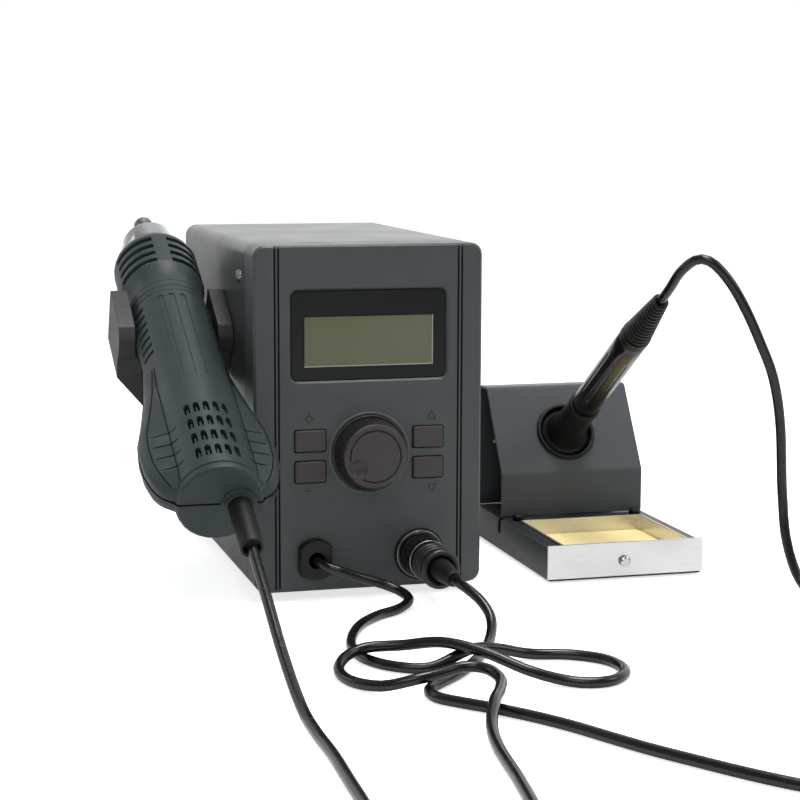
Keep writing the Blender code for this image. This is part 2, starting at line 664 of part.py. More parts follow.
def build_socket(unit, surfaces):
    """Round panel connector, its nut, and the screwed plug of the iron's cord."""
    axis = empty("socket_axis", unit, (SOCKET_X, 0, SOCKET_Z))
    bore = SOCKET_THREAD - 1.5 * MM
    shell = [
        (bore, -2.2 * MM), (SOCKET_FLANGE - MM, -2.2 * MM), (SOCKET_FLANGE - MM, -1.5 * MM),
        (SOCKET_FLANGE, -1.5 * MM), (SOCKET_FLANGE, -GAP), (SOCKET_THREAD, -GAP),
        (SOCKET_THREAD, 10 * MM), (0, 10 * MM), (0, 5 * MM), (bore, 5 * MM),
    ]
    solid("socket_shell", turned(shell, 24, "y"), surfaces["black_plastic"], axis)
    nut = solid(
        "socket_nut",
        cylinder(SOCKET_THREAD + 2.6 * MM, BEZEL_FRONT + GAP, BEZEL_FRONT + 3 * MM, along="y", steps=6),
        surfaces["chrome"], axis,
    )
    combine(nut, "DIFFERENCE", cylinder(SOCKET_THREAD + GAP, 0, 12 * MM, along="y", steps=24))
    front = -2.2 * MM - GAP
    ring_end = front - PLUG_RING_LENGTH
    inner = PLUG_RADIUS - 1.8 * MM
    ring = [
        (inner, front), (PLUG_RADIUS, front), (PLUG_RADIUS, ring_end), (inner, ring_end),
    ]
    plug_ring = solid("plug_ring", turned(ring, 24, "y"), surfaces["black_plastic"], axis)
    notches = []
    for number in range(12):
        notch = cylinder(0.9 * MM, ring_end + 2 * MM, front - 2 * MM, (PLUG_RADIUS + 0.3 * MM, 0), "y", 8)
        notches.append(moved(notch, turn=Matrix.Rotation(2 * math.pi * number / 12, 3, "Y")))
    combine(plug_ring, "DIFFERENCE", together(notches))
    tail = -PLUG_LENGTH
    groove = ring_end - GAP
    rib = (groove - tail - 2.5 * MM) / 3
    hole = 5.3 * MM
    body = [
        (0, 4 * MM), (bore - GAP, 4 * MM), (bore - GAP, front + 0.2 * MM), (inner - GAP, front + 0.2 * MM),
        (inner - GAP, groove), (7.6 * MM, groove), (7.6 * MM, groove - 2.5 * MM),
    ]
    for number in range(3):
        start = groove - 2.5 * MM - number * rib
        body += [
            (PLUG_RADIUS - 0.2 * MM, start), (PLUG_RADIUS - 0.2 * MM, start - 0.6 * rib),
            (PLUG_RADIUS - 0.8 * MM, start - 0.6 * rib), (PLUG_RADIUS - 0.8 * MM, start - rib),
        ]
    body[-1] = (PLUG_RADIUS - 0.8 * MM, tail)
    body += [(hole, tail), (hole, tail + 5 * MM), (0, tail + 5 * MM)]
    solid("plug_body", turned(body, 20, "y"), surfaces["black_plastic"], axis)
    start = tail + 5 * MM - GAP
    end = tail - BOOT_LENGTH
    boot = [(0, start), (hole - GAP, start), (hole - GAP, tail), (CORD_RADIUS + 0.9 * MM, end), (0, end)]
    solid("plug_boot", turned(boot, 24, "y"), surfaces["rubber"], axis)


def build_case(unit, surfaces):
    """Folded cover, chassis floor, back panel and feet."""
    half = CASE_WIDTH / 2
    edge = half - BOTTOM_RETURN
    corners = [
        (edge, CASE_BOTTOM), (half, CASE_BOTTOM), (half, CASE_TOP), (-half, CASE_TOP),
        (-half, CASE_BOTTOM), (-edge, CASE_BOTTOM),
    ]
    sleeve = strip(filleted(corners, CASE_CORNER), SHEET)
    solid("cover", prism(sleeve, "front", BEZEL_DEPTH + GAP, CASE_DEPTH), surfaces["sheet_grey"], unit)
    wide = SLEEVE_WIDTH / 2 - GAP
    low = CASE_BOTTOM + SHEET + GAP
    start = BEZEL_DEPTH + BEZEL_LIP + GAP
    end = CASE_DEPTH - REAR_INSET - SHEET - GAP
    floor = [(-wide, low + CHASSIS_FLANGE), (-wide, low), (wide, low), (wide, low + CHASSIS_FLANGE)]
    chassis = solid(
        "chassis", prism(strip(filleted(floor, CASE_CORNER), SHEET), "front", start, end),
        surfaces["steel"], unit,
    )
    posts = [
        cylinder(2.5 * MM, FLOOR_TOP - 0.5 * MM, FLOOR_TOP + STANDOFF, place, steps=12)
        for place in mainboard_corners()
    ]
    combine(chassis, "UNION", together(posts))
    middle = (0, CASE_BOTTOM + CASE_HEIGHT / 2)
    outline = rounded(SLEEVE_WIDTH - 2 * GAP, SLEEVE_HEIGHT - 2 * GAP, CASE_CORNER - SHEET - GAP, middle)
    back = CASE_DEPTH - REAR_INSET
    panel = solid("rear_panel", prism(outline, "front", back - SHEET, back), surfaces["sheet_grey"], unit)
    openings = (
        rounded(INLET_WIDTH, INLET_HEIGHT, MM, inlet_place(), 2),
        rounded(SWITCH_WIDTH, SWITCH_HEIGHT, MM, switch_place(), 2),
    )
    cuts = [prism(opening, "front", back - 2 * MM, back + MM) for opening in openings]
    pitch = 2.6 * VENT_WIDTH
    for number in range(VENT_COUNT):
        x = (number - (VENT_COUNT - 1) / 2) * pitch
        place = (x, CASE_TOP - 20 * MM - VENT_HEIGHT / 2)
        vent = rounded(VENT_WIDTH, VENT_HEIGHT, VENT_WIDTH / 2, place, 1)
        cuts.append(prism(vent, "front", back - 2 * MM, back + MM))
    combine(panel, "DIFFERENCE", together(cuts))
    for name, x, y in foot_places():
        foot = [
            (2.2 * MM, 0), (FOOT_RADIUS - 0.7 * MM, 0), (FOOT_RADIUS, 0.7 * MM),
            (FOOT_RADIUS, FOOT_HEIGHT - GAP), (0, FOOT_HEIGHT - GAP), (0, 2 * MM), (2.2 * MM, 2 * MM),
        ]
        solid(f"foot_{name}", turned(foot, 12), surfaces["rubber"], unit, (x, y, 0))


def foot_places():
    x = CASE_WIDTH / 2 - FOOT_INSET
    front = BEZEL_DEPTH + FOOT_INSET - 4 * MM
    back = CASE_DEPTH - FOOT_INSET - 8 * MM
    names = (("front_left", -x, front), ("front_right", x, front))
    return names + (("rear_left", -x, back), ("rear_right", x, back))


def inlet_place():
    return (-INLET_WIDTH / 2 - 8 * MM, CASE_BOTTOM + INLET_HEIGHT / 2 + 18 * MM)


def switch_place():
    return (SWITCH_WIDTH / 2 + 12 * MM, CASE_BOTTOM + INLET_HEIGHT / 2 + 18 * MM)


def mainboard_corners():
    half = SLEEVE_WIDTH / 2 - 14 * MM
    ends = (BOARD_START + 4 * MM, BOARD_START + BOARD_LENGTH - 4 * MM)
    return [(x, y) for x in (-half, half) for y in ends]


def build_back(unit, surfaces):
    """Mains inlet and the rocker switch beside it."""
    back = CASE_DEPTH - REAR_INSET
    x, z = inlet_place()
    plate = rounded(INLET_WIDTH + 4 * MM, INLET_HEIGHT + 4 * MM, 2 * MM, steps=2)
    inlet = solid(
        "power_inlet", prism(plate, "front", back + GAP, back + 2.5 * MM), surfaces["black_plastic"],
        unit, (x, 0, z),
    )
    body = rounded(INLET_WIDTH - 2 * GAP, INLET_HEIGHT - 2 * GAP, MM, steps=2)
    combine(inlet, "UNION", prism(body, "front", back - INLET_REACH, back + MM), place=(x, 0, z))
    wide, high, cut = INLET_WIDTH / 2 - 1.5 * MM, INLET_HEIGHT / 2 - 2 * MM, 4 * MM
    mouth = [
        (-wide, -high), (wide, -high), (wide, high - cut), (wide - cut, high), (cut - wide, high),
        (-wide, high - cut),
    ]
    combine(inlet, "DIFFERENCE", prism(mouth, "front", back - 15 * MM, back + 4 * MM), place=(x, 0, z))
    pins = []
    for pin_x, pin_z in ((-7 * MM, -2 * MM), (0, 2 * MM), (7 * MM, -2 * MM)):
        low = (pin_x - MM, back - 16 * MM, pin_z - 2 * MM)
        pins.append(block(low, (pin_x + MM, back - 2 * MM, pin_z + 2 * MM)))
    combine(inlet, "UNION", together(pins), place=(x, 0, z))
    x, z = switch_place()
    plate = rounded(SWITCH_WIDTH + 2 * MM, SWITCH_HEIGHT + 2 * MM, MM, steps=2)
    frame = solid(
        "rocker_frame", prism(plate, "front", back + GAP, back + 2 * MM), surfaces["black_plastic"],
        unit, (x, 0, z),
    )
    body = rounded(SWITCH_WIDTH - 2 * GAP, SWITCH_HEIGHT - 2 * GAP, MM, steps=2)
    combine(frame, "UNION", prism(body, "front", back - 12 * MM, back + MM), place=(x, 0, z))
    wide, high = SWITCH_WIDTH - 3 * MM, SWITCH_HEIGHT - 3 * MM
    opening = rounded(wide, high, 0.5 * MM, steps=1)
    combine(frame, "DIFFERENCE", prism(opening, "front", back - 10 * MM, back + 4 * MM), place=(x, 0, z))
    # The two faces of the paddle meet in a shallow valley; the upper half is pressed in
    reach = high / 2 - 0.9 * MM
    slope = math.radians(ROCKER_ANGLE)
    paddle = [
        (2 * MM, 0), (2 * MM + reach * math.tan(slope), reach),
        (-2 * MM, reach), (-5 * MM, 2.5 * MM), (-5 * MM, -2.5 * MM), (-2 * MM, -reach),
        (2 * MM + reach * math.tan(slope), -reach),
    ]
    solid(
        "rocker", prism(paddle, "side", GAP - wide / 2, wide / 2 - GAP), surfaces["black_plastic"],
        unit, (x, back - MM, z), (math.radians(-ROCKER_ANGLE), 0, 0),
    )


def build_inside(unit, surfaces):
    """Transformer, power board and heat sink on the chassis floor."""
    place = (0, TRANSFORMER_Y, FLOOR_TOP + GAP)
    wide, deep = CORE_WIDTH / 2, CORE_DEPTH / 2
    core = block((-wide, -deep, 0), (wide, deep, CORE_HEIGHT))
    transformer = solid("transformer", core, surfaces["steel"], unit, place, smooth=False)
    coil_face = rounded(COIL_WIDTH, COIL_HEIGHT, 5 * MM, (0, CORE_HEIGHT / 2), 3)
    coil = prism(coil_face, "front", -COIL_LENGTH / 2, COIL_LENGTH / 2)
    combine(transformer, "UNION", coil, place=place)
    corners = mainboard_corners()
    edge = 4 * MM
    low = (corners[0][0] - edge, corners[0][1] - edge)
    high = (corners[-1][0] + edge, corners[-1][1] + edge)
    level = FLOOR_TOP + STANDOFF + GAP
    board = solid(
        "main_board", block((*low, level), (*high, level + BOARD_SHEET)), surfaces["board_green"],
        unit, smooth=False,
    )
    top = level + BOARD_SHEET

    def along(share):
        return BOARD_START + share * BOARD_LENGTH

    left = -wide / 2 - 9.5 * MM
    parts = (
        cylinder(8 * MM, level + MM, top + 25 * MM, (left, along(0.276)), steps=20),
        cylinder(6 * MM, level + MM, top + 20 * MM, (left, along(0.62)), steps=20),
        block((-8 * MM, along(0.103), level + MM), (10 * MM, along(0.362), top + 15 * MM)),
        block((-10 * MM, along(0.69), level + MM), (24 * MM, along(0.828), top + 9 * MM)),
    )
    for part in parts:
        combine(board, "UNION", part)
    pitch = SINK_HEIGHT * 0.1875
    half = 2.5 * pitch + MM
    deep = along(0.57) - along(0.414)
    fins = [(-half, 0), (half, 0)]
    for number in range(6):
        right = half - number * pitch
        fins += [(right, deep), (right - 2 * MM, deep)]
        if number < 5:
            fins += [(right - 2 * MM, deep / 3), (right - pitch, deep / 3)]
    solid(
        "heat_sink", prism(fins, "plan", top + GAP, top + SINK_HEIGHT), surfaces["steel"], unit,
        (22 * MM, along(0.414), 0), smooth=False,
    )


def lobes(side):
    """The flat lobes beside the barrel, on the upper or the lower side."""
    rings = []
    for along, across, up in WING_STATIONS:
        wide = WING_WIDTH * across
        high = WING_HEIGHT * up
        crease = min(CREASE_X, wide - 4 * MM)
        edge = [
            (wide, -2 * MM), (wide, 0.24 * high), (wide - MM, 0.44 * high), (wide - 3 * MM, 0.58 * high),
            (crease, 0.75 * high), (0.8 * crease, high),
        ]
        ring = edge + [(-x, y) for x, y in edge[::-1]]
        rings.append([(x, side * y, along * WING_LENGTH) for x, y in ring])
    return loft(rings)


def barrel_profile():
    """The barrel's skin from the tail to the ringed neck."""
    radius = BODY_RADIUS
    lip = 0.5 * MM
    profile = [
        (0, 0), (radius - 1.2 * MM, 0), (radius - 0.3 * MM, 0.9 * MM), (radius, 3 * MM),
        (radius - lip, 3.3 * MM), (radius - lip, 4.3 * MM), (radius, 4.6 * MM),
    ]
    for ridge in (10 * MM, 6 * MM):
        place = BODY_LENGTH - ridge
        profile += [(radius, place), (radius - lip, place + 0.4 * MM), (radius - lip, place + 1.4 * MM)]
        radius -= 0.2 * MM
        profile.append((radius, place + 1.8 * MM))
    return profile + [(NECK_RADIUS, BODY_LENGTH), (0, BODY_LENGTH)]


def build_handle(unit, surfaces):
    """Two moulded shells with lobes beside the barrel, head, collar, heater and cord boot."""
    tilt = math.radians(HANDLE_TILT - 90)
    x = -CASE_WIDTH / 2 - CRADLE_WIDTH / 2
    axis = empty("handle_axis", unit, (x, TAIL_Y, TAIL_Z), (tilt, 0, 0))
    for name, side in (("handle_upper_shell", -1), ("handle_lower_shell", 1)):
        shell = solid(name, turned(barrel_profile(), 28), surfaces["handle_grey"], axis)
        combine(shell, "UNION", lobes(side))
        if side < 0:
            combine(shell, "UNION", boss())
        inside = BODY_RADIUS - BODY_WALL
        room = [
            (0, 2.4 * MM), (inside - MM, 2.4 * MM), (inside, 4 * MM), (inside, BODY_LENGTH - 12 * MM),
            (NECK_RADIUS - BODY_WALL, BODY_LENGTH - 4 * MM), (NECK_RADIUS - BODY_WALL, BODY_LENGTH + MM),
            (0, BODY_LENGTH + MM),
        ]
        combine(shell, "DIFFERENCE", turned(room, 20))
        reach = WING_WIDTH + 2 * MM
        far = [-side * reach, side * GAP / 2]
        low, high = (-reach, min(far), -5 * MM), (reach, max(far), BODY_LENGTH + 2 * MM)
        combine(shell, "DIFFERENCE", block(low, high))
        port = cylinder(TAIL_BOOT_RADIUS - 1.5 * MM + GAP, -MM, 6 * MM, (TAIL_BOOT_X, 0), steps=16)
        combine(shell, "DIFFERENCE", port)
        if side < 0:
            combine(shell, "DIFFERENCE", together(inlet_slots() + side_slots()))
            combine(shell, "DIFFERENCE", together(long_channels() + wing_lines()))
    build_head(axis, surfaces)
    boot = [
        (0, 4 * MM), (TAIL_BOOT_RADIUS - 1.5 * MM, 4 * MM), (TAIL_BOOT_RADIUS - 1.5 * MM, -GAP),
        (TAIL_BOOT_RADIUS, -GAP), (TAIL_BOOT_RADIUS - 0.3 * MM, -TAIL_BOOT_LENGTH), (0, -TAIL_BOOT_LENGTH),
    ]
    solid("handle_boot", turned(boot, 20), surfaces["rubber"], axis, (TAIL_BOOT_X, 0, 0))
    build_blower(axis, surfaces)


def boss():
    """Stepped collar on the tail, over the cord's boot."""
    inner = TAIL_BOOT_RADIUS + GAP
    step = (inner + BOSS_RADIUS) / 2
    profile = [
        (inner, 0.5 * MM), (BOSS_RADIUS, 0.5 * MM), (BOSS_RADIUS, -1.2 * MM), (step, -1.2 * MM),
        (step, -2.6 * MM), (inner, -2.6 * MM),
    ]
    return moved(turned(profile, 20), (TAIL_BOOT_X, 0, 0))


def top_slot(width, length, place, angle, low, high):
    """A rounded slot's cutter, at an angle in degrees from the top of the barrel."""
    outline = rounded(width, length, width / 2 - 0.05 * MM, (0, place), 2)
    shape = moved(prism(outline, "plan", low, high), turn=Matrix.Rotation(math.radians(90), 3, "X"))
    return moved(shape, turn=Matrix.Rotation(math.radians(angle), 3, "Z"))


def inlet_slots():
    """The grid of air slots over the blower."""
    slots = []
    for place in (12.5 * MM, 22.5 * MM, 32.4 * MM, 42.4 * MM):
        for column in range(-2, 3):
            low, high = BODY_RADIUS - 5 * MM, BODY_RADIUS + 4 * MM
            slots.append(top_slot(2.5 * MM, 7 * MM, place, 13 * column, low, high))
    return slots


def long_channels():
    """Three shallow channels along the top of the grip."""
    low, high = BODY_RADIUS - 0.5 * MM, BODY_RADIUS + 2 * MM
    return [top_slot(2.6 * MM, 65 * MM, 98 * MM, angle, low, high) for angle in (-20, -4, 12)]


def wing_lines():
    """Four fine grooves across each lobe, bent where its flat top meets the barrel."""
    lines = []
    high = WING_HEIGHT
    for side in (-1, 1):
        path = [
            (WING_WIDTH - 5 * MM, 0.58 * high), (CREASE_X, 0.69 * high), (0.84 * CREASE_X, 0.92 * high),
            (0.84 * CREASE_X, 1.2 * high), (1.1 * CREASE_X, high), (WING_WIDTH - 5 * MM, 0.9 * high),
        ]
        outline = [(side * x, -y) for x, y in path]
        for place in (13 * MM, 20.5 * MM, 28 * MM, 35.5 * MM):
            lines.append(prism(outline, "plan", place, place + 0.8 * MM))
    return lines


def side_slots():
    """Short slots low on each side of the neck."""
    slots = []
    for side in (-1, 1):
        for number in range(7):
            place = 94 * MM + 5.6 * MM * number
            slots.append(arc_slot(BODY_RADIUS, side * 62, 24, place, 2 * MM, 3 * MM))
    return slots


def arc_slot(radius, middle, width, place, length, deep):
    """A slot round part of the barrel: its angles are in degrees from the top."""
    steps = max(1, round(width / 16))
    inner, outer = [], []
    for step in range(steps + 1):
        angle = math.radians(middle - width / 2 + width * step / steps)
        inner.append(((radius - deep) * math.sin(angle), -(radius - deep) * math.cos(angle)))
        outer.append(((radius + deep) * math.sin(angle), -(radius + deep) * math.cos(angle)))
    return prism(inner + outer[::-1], "plan", place - length / 2, place + length / 2)


def build_head(axis, surfaces):
    """Slotted head with the chrome collar and outlet, round the heater tube."""
    start = BODY_LENGTH + GAP
    wall = BODY_WALL
    lip = COLLAR_RADIUS + GAP
    outer = [
        (NECK_RADIUS, start), (NECK_RADIUS, start + 4 * MM), (NECK_RADIUS + 0.6 * MM, start + 8 * MM),
        (HEAD_RADIUS - 0.5 * MM, start + 12 * MM), (HEAD_RADIUS, start + 14 * MM),
        (HEAD_RADIUS, HEAD_END - 10 * MM),
        (HEAD_RADIUS - 0.7 * MM, HEAD_END - 7.5 * MM), (HEAD_RADIUS - 2.2 * MM, HEAD_END - 5.5 * MM),
        (lip + 1.7 * MM, HEAD_END),
    ]
    inner = [
        (lip, HEAD_END), (lip, HEAD_END - 2.5 * MM), (lip + 2 * MM, HEAD_END - 2.5 * MM),
        (HEAD_RADIUS - wall, HEAD_END - 10 * MM), (HEAD_RADIUS - wall, start + 16 * MM),
        (NECK_RADIUS - wall, start + 9 * MM), (NECK_RADIUS - wall, start),
    ]
    head = solid("head_sleeve", turned(outer + inner, 28), surfaces["handle_grey"], axis)
    slots = []
    for row in range(4):
        for side in (-1, 1):
            place = BODY_LENGTH + HEAD_SLOTS_FROM + HEAD_SLOT_PITCH * row
            slots.append(arc_slot(HEAD_RADIUS - MM, side * 42, 63, place, 3 * MM, 2.5 * MM))
    combine(head, "DIFFERENCE", together(slots))
    back = HEAD_END - 2.5 * MM - GAP
    collar_end = HEAD_END + COLLAR_LENGTH
    tube = OUTLET_RADIUS
    outlet_end = collar_end + 4 * MM + OUTLET_LENGTH
    collar = [
        (COLLAR_RADIUS - MM, back - 2 * MM), (lip + 1.5 * MM, back - 2 * MM), (lip + 1.5 * MM, back),
        (COLLAR_RADIUS, back), (COLLAR_RADIUS, collar_end - 0.6 * MM),
        (COLLAR_RADIUS - 0.6 * MM, collar_end),
        (tube + 1.5 * MM, collar_end + 1.2 * MM), (tube, collar_end + 2.5 * MM), (tube, outlet_end - 2 * MM),
        (tube + 0.4 * MM, outlet_end - 2 * MM), (tube + 0.4 * MM, outlet_end), (tube - MM, outlet_end),
        (tube - MM, collar_end + 0.4 * MM), (COLLAR_RADIUS - MM, collar_end - MM),
    ]
    solid("nozzle", turned(collar, 20), surfaces["chrome"], axis)
    seat = start + 2 * MM
    rim = NECK_RADIUS - wall - GAP
    heater = [
        (HEATER_RADIUS - MM, seat), (rim, seat), (rim, seat + 1.5 * MM), (HEATER_RADIUS, seat + 1.5 * MM),
        (HEATER_RADIUS, collar_end - 3 * MM), (HEATER_RADIUS - MM, collar_end - 3 * MM),
    ]
    solid("heater_tube", turned(heater, 16), surfaces["ceramic"], axis)


def build_blower(axis, surfaces):
    """Motor standing on the lower shell, and the bladed wheel that it turns."""
    base = BODY_RADIUS - BODY_WALL
    spin = empty("blower_axis", axis, (0, 0, IMPELLER_PLACE))
    wheel_base, wheel_top = 4 * MM, -4.5 * MM
    motor = [
        (0, wheel_base - 7 * MM), (MM, wheel_base - 7 * MM), (MM, wheel_base + GAP),
        (8 * MM, wheel_base + GAP),
        (8 * MM, base - 3.6 * MM), (3 * MM, base - MM), (0, base - MM),
    ]
    solid("blower_motor", turned(motor, 16, "y"), surfaces["steel"], spin)
    hub = [
        (MM + GAP, wheel_base), (IMPELLER_RADIUS, wheel_base), (IMPELLER_RADIUS, wheel_base - MM),
        (5 * MM, wheel_base - MM), (4 * MM, wheel_top), (MM + GAP, wheel_top),
    ]
    wheel = solid("fan_impeller", turned(hub, 18, "y"), surfaces["black_plastic"], spin)
    for number in range(9):
        blade = block((3 * MM, wheel_top, -0.5 * MM), (IMPELLER_RADIUS, wheel_base - 0.5 * MM, 0.5 * MM))
        combine(wheel, "UNION", moved(blade, turn=Matrix.Rotation(2 * math.pi * number / 9, 3, "Y")))


def build_cradle(unit, surfaces):
    """Trough on the unit's side that carries the handle by its neck."""
    tilt = math.radians(HANDLE_TILT)
    middle = -CASE_WIDTH / 2 - CRADLE_WIDTH / 2
    along = Vector((math.cos(tilt), math.sin(tilt)))
    up = Vector((-math.sin(tilt), math.cos(tilt)))
    tail = Vector((TAIL_Y, TAIL_Z))

    def at(place, height):
        return tuple(tail + along * place + up * height)

    back = CRADLE_BACK - GAP
    front = back - CRADLE_LENGTH
    side = filleted([
        at(back, -CRADLE_BELOW), at(back, 10.6 * MM), at(front + 9 * MM, 8.5 * MM),
        at(front + 4.5 * MM, 4 * MM), at(front + 4.5 * MM, -2 * MM), at(front + 7.5 * MM, -8 * MM),
        at(front + 6 * MM, -15 * MM), at(front, -CRADLE_BELOW),
    ], CRADLE_ROUND)
    left = middle - CRADLE_WIDTH / 2 - GAP
    block_shape = prism(side, "side", left, left + CRADLE_WIDTH)
    cradle = solid("cradle", block_shape, surfaces["sheet_grey"], unit)
    turn = (math.radians(HANDLE_TILT - 90), 0, 0)
    place = (middle, TAIL_Y, TAIL_Z)
    radius = BODY_RADIUS + CRADLE_CLEAR
    trough = [(radius, -20 * MM), (radius, 0)]
    angles = [math.pi * step / 16 for step in range(1, 16)]
    trough += [(radius * math.cos(angle), radius * math.sin(angle)) for angle in angles]
    trough += [(-radius, 0), (-radius, -20 * MM)]
    ends = (front - 20 * MM, back + 20 * MM)
    combine(cradle, "DIFFERENCE", prism(trough, "plan", *ends), place=place, turn=turn)
    # The outer edges under the trough are cut away at a slant
    wide = CRADLE_WIDTH / 2 + 2 * MM
    cuts = []
    for way in (-1, 1):
        wedge = [
            (way * wide, 14 * MM), (way * wide, 34 * MM), (way * 8 * MM, 34 * MM),
            (way * 14 * MM, CRADLE_BELOW - 2 * MM),
        ]
        if way < 0:
            wedge.reverse()
        cuts.append(prism(wedge, "plan", *ends))
    combine(cradle, "DIFFERENCE", together(cuts), place=place, turn=turn)


def hood_line():
    """Corners of the hood's outer side, in the stand's (y, z) plane."""
    floor = STAND_PAD + STAND_HEIGHT + GAP
    front = STAND_Y + HOOD_FRONT
    lean = math.radians(HOOD_LEAN)
    bend = floor + HOOD_BEND
    top = floor + HOOD_HEIGHT
    run = (top - bend) / math.tan(lean)
    back = STAND_Y + HOOD_BACK
    return floor, [(front, floor), (front, bend), (front + run, top), (back, top), (back, floor)]


def hole_centre():
    _, line = hood_line()
    lean = math.radians(HOOD_LEAN)
    return (line[1][0] + HOLE_ALONG * math.cos(lean), line[1][1] + HOLE_ALONG * math.sin(lean))


def build_stand(stand, surfaces):
    """Open-topped base, folded hood, funnel, pull-out tray and sponge."""
    low, high = STAND_PAD, STAND_PAD + STAND_HEIGHT
    half = STAND_WIDTH / 2
    start = STAND_Y + TRAY_SHEET + GAP
    end = STAND_Y + STAND_DEPTH
    outline = rounded(STAND_WIDTH, STAND_HEIGHT, 1.5 * MM, (0, (low + high) / 2), 2)
    base = solid("stand_base", prism(outline, "front", start, end), surfaces["sheet_grey"], stand)
    room = rounded(STAND_WIDTH - 2 * SHEET, STAND_HEIGHT - 2 * SHEET, 0.6 * MM, (0, (low + high) / 2), 2)
    combine(base, "DIFFERENCE", prism(room, "front", start - MM, end - SHEET))
    opening = OPENING_WIDTH / 2
    first, last = start, STAND_Y + OPENING_END
    combine(base, "DIFFERENCE", block((-opening, first - MM, high - 2 * MM), (opening, last, high + MM)))
    guides = []
    for side in (-1, 1):
        near, far = side * opening, side * (opening + SHEET)
        guides.append(block((min(near, far), first, high - 6 * MM), (max(near, far), last, high - 0.6 * MM)))
    combine(base, "UNION", together(guides))
    foot = STAND_Y + HOOD_FRONT
    cuts = [
        cylinder(2.75 * MM, high - 2 * MM, high + MM, (side * (half - 7.5 * MM), foot - 7 * MM), steps=16)
        for side in (-1, 1)
    ]
    cuts.append(block((-half - MM, foot - 3 * MM, high - 7 * MM), (-half + 2 * MM, foot + MM, high + MM)))
    combine(base, "DIFFERENCE", together(cuts))
    floor, line = hood_line()
    wide = half - HOOD_INSET
    hood_shape = strip(filleted(line, 3 * MM)[::-1], SHEET)
    hood = solid("stand_hood", prism(hood_shape, "side", -wide, wide), surfaces["sheet_grey"], stand)
    tilt = math.radians(HOOD_LEAN)
    centre = hole_centre()
    axis = empty("iron_axis", stand, (0, *centre), (tilt, 0, 0))
    combine(hood, "DIFFERENCE", cylinder(FUNNEL_NECK + GAP, -4 * MM, 4 * MM, steps=24), parent=axis)
    combine(hood, "DIFFERENCE", cylinder(NUT_RADIUS + 3 * MM, -40 * MM, -16 * MM, steps=24), parent=axis)
    ledge = FLANGE_RADIUS - 3.8 * MM
    funnel = [
        (FUNNEL_RADIUS, GAP), (FUNNEL_RADIUS, 1.4 * MM), (FUNNEL_RADIUS - 0.6 * MM, 2 * MM),
        (FLANGE_RADIUS + 1.2 * MM, 2 * MM), (FLANGE_RADIUS + 0.7 * MM, MM),
        (FLANGE_RADIUS + 0.4 * MM, -4 * MM),
        (ledge, -4.5 * MM),
        (ledge, -FUNNEL_DEPTH), (ledge + 2 * MM, -FUNNEL_DEPTH), (FUNNEL_NECK, -FUNNEL_DEPTH + 6 * MM),
        (FUNNEL_NECK, GAP),
    ]
    solid("stand_funnel", turned(funnel, 20), surfaces["rubber"], axis)
    build_tray(stand, surfaces)
    for name, x, y in (
        ("front_left", -half + 8 * MM, start + 8 * MM), ("front_right", half - 8 * MM, start + 8 * MM),
        ("rear_left", -half + 8 * MM, end - 8 * MM), ("rear_right", half - 8 * MM, end - 8 * MM),
    ):
        pad = cylinder(4.5 * MM, 0, STAND_PAD - GAP, steps=12)
        solid(f"pad_{name}", pad, surfaces["rubber"], stand, (x, y, 0))
    return axis


def build_tray(stand, surfaces):
    """Bright tray that pulls out of the stand's front, its knob and the sponge in it."""
    half = OPENING_WIDTH / 2 - GAP
    low = STAND_PAD + SHEET + GAP
    back = STAND_Y + OPENING_END - GAP
    front = STAND_Y
    rim = STAND_PAD + STAND_HEIGHT + TRAY_RISE
    box = block((-half, front, low), (half, back, rim))
    tray = solid("stand_tray", box, surfaces["steel"], stand, smooth=False)
    room = block(
        (TRAY_SHEET - half, front + TRAY_SHEET, low + TRAY_SHEET),
        (half - TRAY_SHEET, back - TRAY_SHEET, rim + MM),
    )
    combine(tray, "DIFFERENCE", room)
    wide = STAND_WIDTH / 2
    plate = block((-wide, front, STAND_PAD + TRAY_RISE), (wide, front + TRAY_SHEET, rim))
    combine(tray, "UNION", plate)
    middle = STAND_PAD + STAND_HEIGHT / 2
    knob = [
        (0, -GAP), (1.6 * MM, -GAP), (1.6 * MM, -0.8 * MM), (2.5 * MM, -0.8 * MM), (2.5 * MM, -1.6 * MM),
        (1.7 * MM, -2.3 * MM), (0, -2.3 * MM),
    ]
    solid("tray_knob", turned(knob, 14, "y"), surfaces["chrome"], stand, (-0.8 * MM, front, middle))
    inner = 2 * (half - TRAY_SHEET - GAP)
    first, last = front + TRAY_SHEET + GAP, back - TRAY_SHEET - GAP
    pad = rounded(inner, last - first, 2 * MM, (0, (first + last) / 2), 3)
    bottom = low + TRAY_SHEET + GAP
    solid("sponge", prism(pad, "plan", bottom, bottom + SPONGE_HEIGHT), surfaces["sponge_yellow"], stand)


